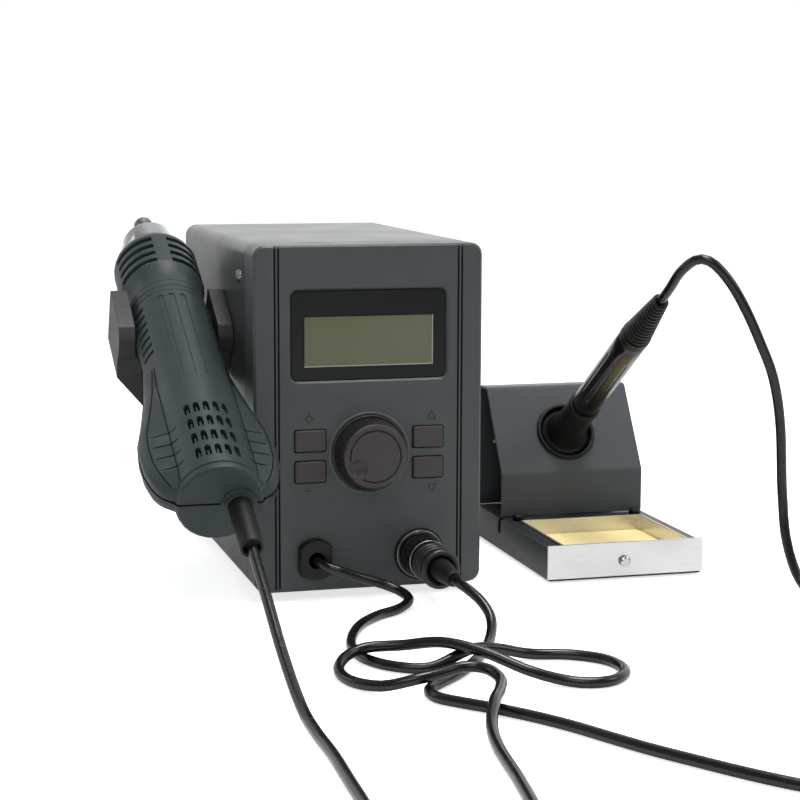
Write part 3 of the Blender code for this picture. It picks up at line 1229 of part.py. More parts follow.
def build_iron(axis, surfaces):
    """Soldering iron, from the tip inside the hood to the boot at its cord."""
    seat = -4 * MM + 1.2 * MM
    nut_end = -14 * MM
    barrel_end = nut_end - BARREL_LENGTH
    tip = [
        (0, nut_end), (BARREL_RADIUS - 1.2 * MM, nut_end), (BARREL_RADIUS - 1.2 * MM, barrel_end - GAP),
        (BARREL_RADIUS - 0.4 * MM, barrel_end - GAP), (BARREL_RADIUS - 0.4 * MM, barrel_end - 5 * MM),
        (0.4 * MM, barrel_end - TIP_LENGTH), (0, barrel_end - TIP_LENGTH),
    ]
    solid("iron_tip", turned(tip, 14), surfaces["chrome"], axis)
    barrel = [
        (BARREL_RADIUS - 0.9 * MM, nut_end + MM), (BARREL_RADIUS, nut_end + MM),
        (BARREL_RADIUS, barrel_end), (BARREL_RADIUS - 0.9 * MM, barrel_end),
    ]
    solid("iron_barrel", turned(barrel, 14), surfaces["steel"], axis)
    nut = [
        (BARREL_RADIUS + GAP, nut_end), (NUT_RADIUS - MM, nut_end), (NUT_RADIUS, nut_end + 2 * MM),
        (NUT_RADIUS, seat - GAP), (0, seat - GAP), (0, nut_end + MM + GAP),
        (BARREL_RADIUS + GAP, nut_end + MM + GAP),
    ]
    solid("iron_nut", turned(nut, 16), surfaces["steel"], axis)
    grip = [
        (0, seat), (FLANGE_RADIUS - 0.6 * MM, seat), (FLANGE_RADIUS, seat + 0.6 * MM),
        (FLANGE_RADIUS, seat + 2.6 * MM), (FLANGE_RADIUS - 0.8 * MM, seat + 3.2 * MM),
        (FLANGE_RADIUS - 2 * MM, seat + 3.8 * MM), (GRIP_RADIUS + 0.9 * MM, seat + 9 * MM),
        (GRIP_RADIUS, seat + 16 * MM),
        (GRIP_RADIUS - 0.5 * MM, GRIP_LENGTH - 4 * MM), (GRIP_RADIUS, GRIP_LENGTH - 3 * MM),
        (GRIP_RADIUS, GRIP_LENGTH - 0.5 * MM), (GRIP_RADIUS - 0.5 * MM, GRIP_LENGTH), (0, GRIP_LENGTH),
    ]
    solid("iron_grip", turned(grip, 20), surfaces["rubber"], axis)
    start = GRIP_LENGTH + GAP
    end = GRIP_LENGTH + HANDLE_LENGTH
    body = [
        (0, start), (HANDLE_RADIUS - 0.4 * MM, start), (HANDLE_RADIUS, start + 6 * MM),
        (HANDLE_RADIUS, end - 8 * MM), (HANDLE_RADIUS - 0.5 * MM, end - GAP), (0, end - GAP),
    ]
    handle = solid("iron_handle", turned(body, 24), surfaces["black_plastic"], axis)
    flutes = []
    for number in range(8):
        outline = rounded(1.6 * MM, HANDLE_LENGTH - 26 * MM, 0.7 * MM, (0, (start + end) / 2), 1)
        flute = prism(outline, "front", HANDLE_RADIUS - 0.5 * MM, HANDLE_RADIUS + MM)
        flutes.append(moved(flute, turn=Matrix.Rotation(2 * math.pi * number / 8, 3, "Z")))
    combine(handle, "DIFFERENCE", together(flutes))
    boot = [(0, end), (HANDLE_RADIUS, end)]
    rings = 9
    pitch = IRON_BOOT_LENGTH / rings
    for number in range(rings):
        share = number / (rings - 1)
        radius = HANDLE_RADIUS + (CORD_RADIUS + 1.2 * MM - HANDLE_RADIUS) * share
        place = end + number * pitch
        boot += [(radius, place + 0.5 * pitch), (radius - 0.9 * MM, place + 0.75 * pitch)]
        if number < rings - 1:
            boot.append((radius - 0.3 * MM, place + 1.05 * pitch))
    boot += [(radius - 0.9 * MM, end + IRON_BOOT_LENGTH), (0, end + IRON_BOOT_LENGTH)]
    solid("iron_boot", turned(boot, 14), surfaces["rubber"], axis)


# Route of the handle's cord in the unit's frame, in millimetres, from the gland to the boot
HANDLE_CORD = [
    (-24, -4.3, 17.9), (-20.5, -11, 16.6), (-10, -14, 12.9), (1, -13.5, 9), (8.6, -17.5, 6.2),
    (10.5, -26, 4.2), (4, -34, 2.6), (-7, -41.5, 2.3), (-18, -55, 2.3), (-26, -73, 2.3), (-30, -91, 2.3),
    (-28, -107, 2.3), (-20, -119, 2.3), (-8, -124, 2.7), (8, -121, 7.7), (20, -117, 6), (33, -115, 2.6),
    (48, -119, 2.3), (59, -130, 2.3), (60, -146, 2.3), (50, -157, 2.3), (37, -155, 2.3), (24, -143, 4),
    (10, -131, 9), (-3, -120, 10.8), (-16, -111, 8.2), (-29, -107, 7.1), (-38, -111, 5.2),
    (-43, -121, 3), (-41, -134, 2.3), (-33, -146, 3.4), (-22, -151, 6.4), (-12, -149.5, 7.6),
    (-3, -147, 8.7), (4.3, -151.5, 8.6), (6, -162, 7.7), (2, -174, 7.4), (-4, -186, 6.8), (-10, -202, 3.6),
    (-14, -222, 2.3), (-18, -255, 2.3), (-24, -292, 2.3), (-34, -326, 2.3), (-51, -340, 2.3),
    (-66, -325, 2.3), (-70, -290, 2.3), (-69, -250, 2.3), (-67.5, -215, 2.3), (-67.4, -190, 2.3),
    (-67.5, -168, 4.6), (-67.6, -140, 14.6), (-67.6, -110, 29.4), (-67.6, -83.9, 42.2),
]

# Route of the iron's cord, from the plug to the iron
IRON_CORD = [
    (22.3, -52.4, 18), (22.4, -57, 18), (24.3, -64, 16.6), (27.3, -71.5, 13.6), (29, -79, 9.4),
    (27.5, -86, 5.5), (22.5, -97, 2.5), (15.5, -110, 2.3), (8, -122, 2.3), (-1, -134, 2.3), (-10, -143, 2.3),
    (-17, -151, 2.3), (-17, -161, 2.3), (-9, -171, 2.3), (2, -183, 2.3), (16, -203, 2.3),
    (38, -243, 2.3), (72, -288, 2.3), (120, -314, 2.3), (170, -304, 2.3), (205, -268, 2.3),
    (217, -218, 2.3), (211, -166, 2.3), (194, -122, 2.3), (178, -90, 3.2), (169, -73, 11), (164.5, -65, 28),
    (163, -62, 50), (161, -62.5, 78), (156.5, -64, 98), (150, -64.5, 113), (143, -64.5, 127),
    (136, -63.5, 138.5), (129.2, -61, 146.2), (124.2, -56.5, 147.3), (120.3, -49.5, 142),
    (119.3, -41, 134.6),
]


def iron_end():
    """Where the iron's boot ends, in the stand's frame."""
    tilt = math.radians(HOOD_LEAN)
    centre = hole_centre()
    reach = GRIP_LENGTH + HANDLE_LENGTH + IRON_BOOT_LENGTH + GAP
    return (centre[0] - reach * math.sin(tilt), centre[1] + reach * math.cos(tilt))


def main():
    clear_scene()
    surfaces = build_materials()
    unit = empty("station", place=(UNIT_X, UNIT_Y, 0))
    build_case(unit, surfaces)
    build_bezel(unit, surfaces)
    build_display(unit, surfaces)
    build_buttons(unit, surfaces)
    build_knob(unit, surfaces)
    build_gland(unit, surfaces)
    build_socket(unit, surfaces)
    build_back(unit, surfaces)
    build_inside(unit, surfaces)
    build_handle(unit, surfaces)
    build_cradle(unit, surfaces)
    stand = empty("stand", unit, (STAND_X, 0, 0))
    iron = build_stand(stand, surfaces)
    build_iron(iron, surfaces)
    y, z = iron_end()
    last = (STAND_X / MM, y / MM, z / MM)
    cord("handle_cord", HANDLE_CORD, surfaces["cord_black"], unit)
    cord("iron_cord", IRON_CORD + [last], surfaces["cord_black"], unit)


main()
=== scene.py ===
"""Looks of the hot-air and soldering rework station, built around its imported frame."""

import json
import math

import bmesh
import bpy
from mathutils import Matrix, Vector, noise
from mathutils.bvhtree import BVHTree


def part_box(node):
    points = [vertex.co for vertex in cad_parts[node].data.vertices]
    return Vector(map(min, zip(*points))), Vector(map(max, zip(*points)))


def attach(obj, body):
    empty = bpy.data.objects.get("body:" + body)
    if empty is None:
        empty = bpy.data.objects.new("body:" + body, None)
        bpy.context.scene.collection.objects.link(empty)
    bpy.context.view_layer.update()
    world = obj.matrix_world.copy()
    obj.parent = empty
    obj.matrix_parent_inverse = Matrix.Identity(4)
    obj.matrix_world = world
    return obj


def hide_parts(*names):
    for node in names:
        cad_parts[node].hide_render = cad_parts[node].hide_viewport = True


MM = 0.001
STATION = Vector((-26.65, -42.75, 0)) * MM
CORD_DIAMETER = 4.2 * MM

# Centre lines of the tilted hot-air handle and of the iron: a point and the slope's angle
HANDLE_TAIL = Vector((-101.65, -100.15, 55.1)) * MM
HANDLE_TURN = math.radians(26.2 - 90)
IRON_SEAT = Vector((92.55, 40.52, 54.55)) * MM
IRON_TURN = math.radians(57.3)

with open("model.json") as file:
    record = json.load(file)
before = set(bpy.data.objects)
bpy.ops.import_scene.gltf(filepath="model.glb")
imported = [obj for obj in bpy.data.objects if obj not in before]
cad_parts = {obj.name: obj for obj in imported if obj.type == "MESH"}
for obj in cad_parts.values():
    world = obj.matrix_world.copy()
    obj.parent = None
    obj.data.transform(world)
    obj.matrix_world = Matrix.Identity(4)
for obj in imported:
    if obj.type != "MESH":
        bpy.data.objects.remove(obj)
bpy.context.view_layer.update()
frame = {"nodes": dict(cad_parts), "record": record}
body_of = {node: body for body, nodes in frame["record"]["behaviour"]["bodies"].items() for node in nodes}
SLOTS = {part["node"]: part["material_slot"] for part in frame["record"]["subparts"]}


# Finishes

def colour(code):
    """Linear colour of an sRGB hex value."""
    shares = [int(code[place:place + 2], 16) / 255 for place in (0, 2, 4)]
    return [*(s / 12.92 if s <= 0.04045 else ((s + 0.055) / 1.055) ** 2.4 for s in shares), 1]


def add(tree, kind, settings=(), links=()):
    """Put a shader node in a tree, with its settings and the sockets that feed it."""
    node = tree.nodes.new("ShaderNode" + kind)
    for name, value in dict(settings).items():
        if isinstance(name, int) or name in node.inputs:
            node.inputs[name].default_value = value
        else:
            setattr(node, name, value)
    for name, source in dict(links).items():
        tree.links.new(source, node.inputs[name])
    return node


def started(name, settings):
    """A material with the shader's constant values set, and the place on the surface in metres."""
    finish = bpy.data.materials.new(name)
    finish.use_nodes = True
    tree = finish.node_tree
    shader = tree.nodes["Principled BSDF"]
    for socket, value in settings.items():
        shader.inputs[socket].default_value = value
    place = tree.nodes.new("ShaderNodeTexCoord").outputs["Object"]
    return finish, tree, shader, place


# Spreads the middle values of a noise, which seldom reaches 0 or 1
SOFT_STEP = {"interpolation_type": "SMOOTHSTEP", 1: 0.15, 2: 0.85}


def clouded(tree, place, first, second, size, detail=3):
    """Two tones that drift into each other over patches of a given size."""
    drift = add(tree, "TexNoise", {"Scale": 1 / size, "Detail": detail, "Roughness": 0.6}, {"Vector": place})
    spread = add(tree, "MapRange", SOFT_STEP, {0: drift.outputs[0]})
    tones = {"data_type": "RGBA", 6: colour(first), 7: colour(second)}
    return add(tree, "Mix", tones, {0: spread.outputs[0]}).outputs[2]


def sheen(tree, place, low, high, size):
    """Roughness that wanders between two values, as handling and moulding leave it."""
    wander = add(tree, "TexNoise", {"Scale": 1 / size, "Detail": 4}, {"Vector": place})
    return add(tree, "MapRange", {**SOFT_STEP, 3: low, 4: high}, {0: wander.outputs[0]}).outputs[0]


def grained(tree, place, size, height, strength=1.0):
    """Normal of a fine even grain: size is from one grain to the next, height its depth."""
    grain = add(tree, "TexNoise", {"Scale": 1 / size, "Detail": 2, "Roughness": 0.45}, {"Vector": place})
    bump = add(tree, "Bump", {"Strength": strength, "Distance": height}, {"Height": grain.outputs[0]})
    return bump.outputs[0]


def moulded_abs(name, tone, other, roughness, grain=0.8 * MM, height=0.02 * MM, shine=0.35):
    """ABS from a spark-eroded mould: a fine even grain and a soft broad sheen, darker where it is handled.

    The real grain is about 0.15 mm, drawn coarser so that it shows.
    """
    finish, tree, shader, place = started(name, {"IOR": 1.53, "Specular IOR Level": shine})
    tree.links.new(clouded(tree, place, tone, other, 26 * MM), shader.inputs["Base Color"])
    worn = sheen(tree, place, roughness - 0.05, roughness + 0.06, 14 * MM)
    tree.links.new(worn, shader.inputs["Roughness"])
    tree.links.new(grained(tree, place, grain, height), shader.inputs["Normal"])
    return finish


def polished_plastic(name, tone, other, roughness):
    """Phenolic from a polished mould: sharp streaks of light, softened here and there by handling."""
    finish, tree, shader, place = started(name, {"IOR": 1.53, "Coat Weight": 0.2, "Coat Roughness": 0.14})
    tree.links.new(clouded(tree, place, tone, other, 9 * MM), shader.inputs["Base Color"])
    tree.links.new(sheen(tree, place, roughness, roughness + 0.06, 6 * MM), shader.inputs["Roughness"])
    tree.links.new(grained(tree, place, 5 * MM, 0.01 * MM, 0.4), shader.inputs["Normal"])
    return finish


def clear_window(name, tone, other, roughness, shine):
    """Smooth window plastic or screen glass: even in tone, with faint finger smears and a slight waviness."""
    finish, tree, shader, place = started(name, {"IOR": 1.49, "Specular IOR Level": shine})
    tree.links.new(clouded(tree, place, tone, other, 70 * MM, 0), shader.inputs["Base Color"])
    tree.links.new(sheen(tree, place, roughness, roughness + 0.015, 16 * MM), shader.inputs["Roughness"])
    tree.links.new(grained(tree, place, 22 * MM, 0.01 * MM, 0.3), shader.inputs["Normal"])
    return finish


def powder_coat(name, tone, other, roughness):
    """Polyester powder baked on folded steel: a shallow orange peel of about 1.3 mm and a fine speckle."""
    finish, tree, shader, place = started(name, {"IOR": 1.5, "Specular IOR Level": 0.14})
    base = clouded(tree, place, tone, other, 40 * MM)
    speck = add(tree, "TexNoise", {"Scale": 1 / (0.7 * MM), "Detail": 1}, {"Vector": place})
    shade = add(tree, "MapRange", {1: 0.3, 2: 0.7, 3: 0.93, 4: 1.05}, {0: speck.outputs[0]})
    speckled = add(
        tree, "Mix", {"data_type": "RGBA", "blend_type": "MULTIPLY", 0: 1.0}, {6: base, 7: shade.outputs[0]}
    )
    tree.links.new(speckled.outputs[2], shader.inputs["Base Color"])
    worn = sheen(tree, place, roughness - 0.03, roughness + 0.03, 30 * MM)
    tree.links.new(worn, shader.inputs["Roughness"])
    tree.links.new(grained(tree, place, 1.3 * MM, 0.03 * MM), shader.inputs["Normal"])
    return finish


def rolled_steel(name, tone, other, roughness, along):
    """Stainless sheet with a fine rolled line: hair scratches along one axis stretch its highlights.

    Real scratches are about 0.05 mm apart, drawn coarser so that they show.
    """
    finish, tree, shader, place = started(name, {"Metallic": 1.0})
    squeeze = [1 / (0.3 * MM)] * 3
    squeeze[along] = 1 / (50 * MM)
    lined = add(tree, "Mapping", {"Scale": squeeze}, {"Vector": place})
    hair = add(tree, "TexNoise", {"Scale": 1, "Detail": 3}, {"Vector": lined.outputs[0]})
    levels = {1: 0.3, 2: 0.7, 3: roughness - 0.02, 4: roughness + 0.02}
    rough = add(tree, "MapRange", levels, {0: hair.outputs[0]})
    tree.links.new(clouded(tree, place, tone, other, 22 * MM), shader.inputs["Base Color"])
    tree.links.new(rough.outputs[0], shader.inputs["Roughness"])
    bump = add(tree, "Bump", {"Strength": 0.05, "Distance": 0.002 * MM}, {"Height": hair.outputs[0]})
    tree.links.new(bump.outputs[0], shader.inputs["Normal"])
    return finish


def bright_chrome(name, tone, other, roughness):
    """Chromium plate: mirror bright, with faint smears that break the mirror."""
    finish, tree, shader, place = started(name, {"Metallic": 1.0})
    tree.links.new(clouded(tree, place, tone, other, 8 * MM), shader.inputs["Base Color"])
    tree.links.new(sheen(tree, place, roughness - 0.04, roughness + 0.08, 4 * MM), shader.inputs["Roughness"])
    tree.links.new(grained(tree, place, 3 * MM, 0.01 * MM), shader.inputs["Normal"])
    return finish


def dull_skin(name, tone, other, roughness, shine=0.3):
    """Rubber, and other dull skins such as ceramic and cord jacket: dusty pores and paler rubbed patches."""
    finish, tree, shader, place = started(name, {"IOR": 1.52, "Specular IOR Level": shine})
    tree.links.new(clouded(tree, place, tone, other, 5 * MM, 6), shader.inputs["Base Color"])
    tree.links.new(sheen(tree, place, roughness - 0.08, roughness + 0.06, 3 * MM), shader.inputs["Roughness"])
    tree.links.new(grained(tree, place, 0.6 * MM, 0.025 * MM), shader.inputs["Normal"])
    return finish


def circuit_board(name):
    """Glass-epoxy board under green solder mask: woven glass shows through the lacquer."""
    finish, tree, shader, place = started(name, {"IOR": 1.5, "Coat Weight": 0.3, "Coat Roughness": 0.15})
    tree.links.new(clouded(tree, place, "164A2C", "1D5A36", 12 * MM), shader.inputs["Base Color"])
    tree.links.new(sheen(tree, place, 0.32, 0.44, 8 * MM), shader.inputs["Roughness"])
    weave = add(tree, "TexWave", {"Scale": 1 / (1.6 * MM), "Distortion": 0.4}, {"Vector": place})
    bump = add(tree, "Bump", {"Strength": 0.3, "Distance": 0.01 * MM}, {"Height": weave.outputs[1]})
    tree.links.new(bump.outputs[0], shader.inputs["Normal"])
    return finish


FINISHES = {
    "case_grey": moulded_abs("moulded_abs_slate", "454A4B", "404546", 0.4),
    "cover_grey": powder_coat("powder_coat_slate", "414445", "3C3F40", 0.3),
    "window_dark": clear_window("acrylic_window_tinted", "161718", "1A1B1C", 0.1, 0.2),
    "control_grey": moulded_abs("moulded_abs_umber_grey", "3E3A3A", "383434", 0.4, 0.7 * MM, 0.015 * MM),
    "black_plastic": moulded_abs("nylon_moulded_black", "0F0F10", "0B0B0C", 0.3, 0.7 * MM, 0.012 * MM),
    "gloss_black": polished_plastic("phenolic_polished_black", "080707", "0D0B0A", 0.2),
    "screen_green": clear_window("liquid_crystal_glass", "686B57", "63664F", 0.25, 0.15),
    "board_green": circuit_board("solder_mask_green"),
    "handle_grey": moulded_abs("moulded_abs_blue_slate", "363E41", "30383A", 0.42, shine=0.22),
    "chrome": bright_chrome("chromium_plate", "C9CACB", "BEBFC1", 0.14),
    "steel": rolled_steel("stainless_rolled", "DADAD9", "D2D2D1", 0.26, 0),
    "ceramic": dull_skin("fired_ceramic", "C8C2B4", "BAB3A4", 0.7),
    "rubber": dull_skin("rubber_moulded_black", "0D0D0D", "121212", 0.5),
    "sponge_yellow": dull_skin("cellulose_sponge", "FFEDB8", "FBDF9A", 0.9, 0.1),
    "cord_black": dull_skin("pvc_cord_black", "070708", "0A0A0B", 0.24, 0.45),
}
SCREW_FINISH = bright_chrome("zinc_plated_screw", "8E8F90", "7C7D7E", 0.28)


# Pieces

def eased(node, width, finish):
    """A copy of a frame node that stands for it, with its sharp edges eased and its round faces smooth."""
    shape = bmesh.new()
    shape.from_mesh(frame["nodes"][node].data)
    bmesh.ops.remove_doubles(shape, verts=shape.verts, dist=0.002 * MM)
    bmesh.ops.dissolve_limit(
        shape, angle_limit=math.radians(0.5), verts=shape.verts, edges=shape.edges, delimit={"NORMAL"}
    )
    if node == "bezel":
        chamfer_window_rim(shape)
    return placed(shape, node + "_face", node, width, finish)


def chamfer_window_rim(shape):
    """Cut the slope round the window's pocket, whose lower side catches the light."""
    rim = []
    for edge in shape.edges:
        middle = (edge.verts[0].co + edge.verts[1].co) / 2 - STATION
        near_window = abs(middle.x) < 36 * MM and 90 * MM < middle.z < 136 * MM
        if not near_window or abs(middle.y) > 0.1 * MM:
            continue
        facing = sorted(face.normal.y for face in edge.link_faces)
        if len(facing) == 2 and facing[0] < -0.9 and abs(facing[1]) < 0.2:
            rim.append(edge)
    bmesh.ops.bevel(
        shape, geom=rim, offset=0.9 * MM, offset_type="OFFSET", segments=1, profile=0.5, affect="EDGES"
    )


def placed(shape, name, node, width=0, finish=None, angle=32, stands=True):
    """Turn a bmesh into a piece that rides with a node's body and, if asked, stands for the node."""
    mesh = bpy.data.meshes.new(name)
    shape.to_mesh(mesh)
    shape.free()
    piece = bpy.data.objects.new(name, mesh)
    bpy.context.scene.collection.objects.link(piece)
    mesh.shade_smooth()
    mesh.set_sharp_from_angle(angle=math.radians(angle))
    if width:
        ease = piece.modifiers.new("ease", "BEVEL")
        ease.width = width
        ease.segments = 2
        ease.limit_method = "ANGLE"
        ease.angle_limit = math.radians(angle)
        ease.harden_normals = True
    slot = SLOTS[node]
    mesh.materials.append(finish or FINISHES[slot])
    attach(piece, body_of[node])
    if stands:
        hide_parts(node)
    return piece


def smooth_route(points, spacing):
    """Points along a smooth curve through a cord's route points, given in millimetres from the unit."""
    route = [Vector(point) * MM + STATION for point in points]
    full = [route[0] * 2 - route[1]] + route + [route[-1] * 2 - route[-2]]
    fine = []
    for a, b, c, d in zip(full, full[1:], full[2:], full[3:]):
        for step in range(24):
            t = step / 24
            fine.append(0.5 * (
                2 * b + (c - a) * t + (2 * a - 5 * b + 4 * c - d) * t ** 2
                + (3 * b - a - 3 * c + d) * t ** 3
            ))
    fine.append(route[-1])
    kept = [fine[0]]
    for spot in fine:
        if (spot - kept[-1]).length >= spacing:
            kept.append(spot)
    if (fine[-1] - kept[-1]).length < spacing / 2:
        kept.pop()
    return kept + [fine[-1]]


def lines_along(name, node, routes, radius, finish, sides=2, capped=False):
    """Thin round bodies along routes of points in the row frame, as one piece of a node's body."""
    curve = bpy.data.curves.new(name, "CURVE")
    curve.dimensions = "3D"
    for route in routes:
        spline = curve.splines.new("POLY")
        spline.points.add(len(route) - 1)
        for spot, point in zip(spline.points, route):
            spot.co = (*point, 1)
    curve.bevel_depth = radius
    curve.bevel_resolution = sides
    curve.use_fill_caps = capped
    piece = bpy.data.objects.new(name, curve)
    bpy.context.scene.collection.objects.link(piece)
    curve.materials.append(finish)
    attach(piece, body_of[node])
    return piece


def laid_cord(name, node, points):
    """A cord that stands for its node, with its smooth route and its length along it."""
    route = smooth_route(points, 3 * MM)
    piece = lines_along(name, node, [route], CORD_DIAMETER / 2, FINISHES["cord_black"], 5, capped=True)
    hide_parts(node)
    length = sum((b - a).length for a, b in zip(route, route[1:]))
    return piece, route, length


# Routes of the cords, the same as those of their solids, in millimetres from the unit's frame
HANDLE_CORD = [
    (-24, -4.3, 17.9), (-20.5, -11, 16.6), (-10, -14, 12.9), (1, -13.5, 9), (8.6, -17.5, 6.2),
    (10.5, -26, 4.2), (4, -34, 2.6), (-7, -41.5, 2.3), (-18, -55, 2.3), (-26, -73, 2.3), (-30, -91, 2.3),
    (-28, -107, 2.3), (-20, -119, 2.3), (-8, -124, 2.7), (8, -121, 7.7), (20, -117, 6), (33, -115, 2.6),
    (48, -119, 2.3), (59, -130, 2.3), (60, -146, 2.3), (50, -157, 2.3), (37, -155, 2.3), (24, -143, 4),
    (10, -131, 9), (-3, -120, 10.8), (-16, -111, 8.2), (-29, -107, 7.1), (-38, -111, 5.2),
    (-43, -121, 3), (-41, -134, 2.3), (-33, -146, 3.4), (-22, -151, 6.4), (-12, -149.5, 7.6),
    (-3, -147, 8.7), (4.3, -151.5, 8.6), (6, -162, 7.7), (2, -174, 7.4), (-4, -186, 6.8), (-10, -202, 3.6),
    (-14, -222, 2.3), (-18, -255, 2.3), (-24, -292, 2.3), (-34, -326, 2.3), (-51, -340, 2.3),
    (-66, -325, 2.3), (-70, -290, 2.3), (-69, -250, 2.3), (-67.5, -215, 2.3), (-67.4, -190, 2.3),
    (-67.5, -168, 4.6), (-67.6, -140, 14.6), (-67.6, -110, 29.4), (-67.6, -83.9, 42.2),
]
IRON_CORD = [
    (22.3, -52.4, 18), (22.4, -57, 18), (24.3, -64, 16.6), (27.3, -71.5, 13.6), (29, -79, 9.4),
    (27.5, -86, 5.5), (22.5, -97, 2.5), (15.5, -110, 2.3), (8, -122, 2.3), (-1, -134, 2.3), (-10, -143, 2.3),
    (-17, -151, 2.3), (-17, -161, 2.3), (-9, -171, 2.3), (2, -183, 2.3), (16, -203, 2.3),
    (38, -243, 2.3), (72, -288, 2.3), (120, -314, 2.3), (170, -304, 2.3), (205, -268, 2.3),
    (217, -218, 2.3), (211, -166, 2.3), (194, -122, 2.3), (178, -90, 3.2), (169, -73, 11), (164.5, -65, 28),
    (163, -62, 50), (161, -62.5, 78), (156.5, -64, 98), (150, -64.5, 113), (143, -64.5, 127),
    (136, -63.5, 138.5), (129.2, -61, 146.2), (124.2, -56.5, 147.3), (120.3, -49.5, 142), (119.3, -41, 134.6),
    (119.2, -31.4, 128.2),
]

# Turned and shaped parts. Each place turns a part's own frame, with Z along its axis, into the row frame

def on_unit(x, y, z):
    """Place in millimetres from the unit's frame, with Z up."""
    return Matrix.Translation(Vector((x, y, z)) * MM + STATION)


def facing_front(x, z, y=0.0):
    """Place in millimetres from the unit's frame, with Z towards the viewer."""
    return on_unit(x, y, z) @ Matrix.Rotation(math.pi / 2, 4, "X")


HANDLE_PLACE = Matrix.Translation(HANDLE_TAIL) @ Matrix.Rotation(HANDLE_TURN, 4, "X")
IRON_PLACE = Matrix.Translation(IRON_SEAT) @ Matrix.Rotation(IRON_TURN, 4, "X")
KNOB_PLACE = facing_front(0, 62.98)
SOCKET_PLACE = facing_front(22.3, 17.97)


def joined_rings(shape, rings, turns):
    """Close a body's skin from ring to ring. A ring of one corner ends it in a point."""
    for low, high in zip(rings, rings[1:]):
        for step in range(turns):
            after = (step + 1) % turns
            around = ((low, step), (low, after), (high, after), (high, step))
            corners = [ring[place % len(ring)] for ring, place in around]
            corners = [c for i, c in enumerate(corners) if c not in corners[:i]]
            if len(corners) > 2:
                shape.faces.new(corners)
    bmesh.ops.recalc_face_normals(shape, faces=shape.faces)
    return shape


def turned(profile, place, turns=64, swell=None):
    """A body turned round Z from (radius, height) pairs in millimetres. Swell moves a radius by its angle."""
    shape = bmesh.new()
    rings = []
    for radius, height in profile:
        if radius == 0:
            rings.append([shape.verts.new(place @ Vector((0, 0, height * MM)))])
            continue
        ring = []
        for step in range(turns):
            angle = 2 * math.pi * step / turns
            reach = (radius + (swell(angle, radius, height) if swell else 0)) * MM
            ring.append(shape.verts.new(
                place @ Vector((reach * math.cos(angle), reach * math.sin(angle), height * MM))
            ))
        rings.append(ring)
    return joined_rings(shape, rings, turns)


def softened(profile, radius, steps=3):
    """Round the corners of a profile."""
    path = [profile[0]]
    for before, corner, after in zip(profile, profile[1:], profile[2:]):
        corner = Vector(corner)
        back, onward = Vector(before) - corner, Vector(after) - corner
        reach = min(radius, back.length * 0.45, onward.length * 0.45)
        start, end = corner + back.normalized() * reach, corner + onward.normalized() * reach
        for step in range(steps + 1):
            t = step / steps
            path.append(tuple(start * (1 - t) ** 2 + corner * 2 * t * (1 - t) + end * t ** 2))
    return path + [profile[-1]]


def control_knob():
    """Ribbed dial with a finger hollow that breaks the groove in its face, and the panel's bead round it,
    drawn paler than the panel as a painted highlight.
    """
    teeth = 84
    face = 11.0
    groove, groove_half, groove_depth = 11, 0.36, 0.6
    hollow, hollow_radius, hollow_depth = Vector((-7.4, -4.9)), 3.9, 1.7

    def tooth(angle, radius, height):
        if height > 9.9 or height < 2:
            return 0
        return -0.95 * (0.5 - 0.5 * math.cos(angle * teeth)) ** 1.5

    wall = [
        (12.6, 0.7), (16.2, 0.7), (16.45, 0.9), (16.45, 1.5), (16.2, 1.8), (15.8, 1.8), (15.6, 1.6),
        (15.6, 1), (15.3, 1), (15.3, 2.1), (15, 4), (14.5, 7), (14, 9.8), (13.7, 10.4), (13.3, 10.8),
        (12.8, face),
    ]
    shape = turned(wall, KNOB_PLACE, teeth * 6, tooth)
    back = KNOB_PLACE.inverted()
    rim = [vertex for vertex in shape.verts if (back @ vertex.co).z > (face - 0.1) * MM]
    rings = [rim]
    # Close rings where the groove is cut, then even ones to the middle
    steps = [12.3, 11.8, 11.5, 11.35, 11.2, 11, 10.8, 10.65, 10.5, 10]
    for radius in steps + [10 - 0.5 * i for i in range(1, 20)]:
        ring = []
        for vertex in rim:
            local = back @ vertex.co / MM
            spot = Vector((local.x, local.y)).normalized() * radius
            height = face
            away = (spot - hollow).length
            if away < hollow_radius:
                height -= hollow_depth * (1 - (away / hollow_radius) ** 2) ** 0.7
            elif away > 5 and abs(radius - groove) < groove_half:
                height -= groove_depth * (1 - ((radius - groove) / groove_half) ** 2)
            ring.append(shape.verts.new(KNOB_PLACE @ (Vector((*spot, height)) * MM)))
        rings.append(ring)
    shape.faces.new(rings[-1])
    placed(joined_rings(shape, rings, len(rim)), "dial", "knob", angle=50)
    bead = [(16.8, -0.3), (16.8, 0.1), (17.1, 0.35), (17.4, 0.45), (17.65, 0.3), (17.8, 0.05), (17.8, -0.3)]
    # The bead's tone is paler than the panel's: a painted highlight along the ring.
    finish = moulded_abs("moulded_abs_bead_painted_highlight", "5A6062", "545A5C", 0.3, 1.1 * MM, 0.02 * MM)
    placed(turned(bead, KNOB_PLACE, 120), "knob_surround_bead", "bezel", 0, finish, 60, stands=False)


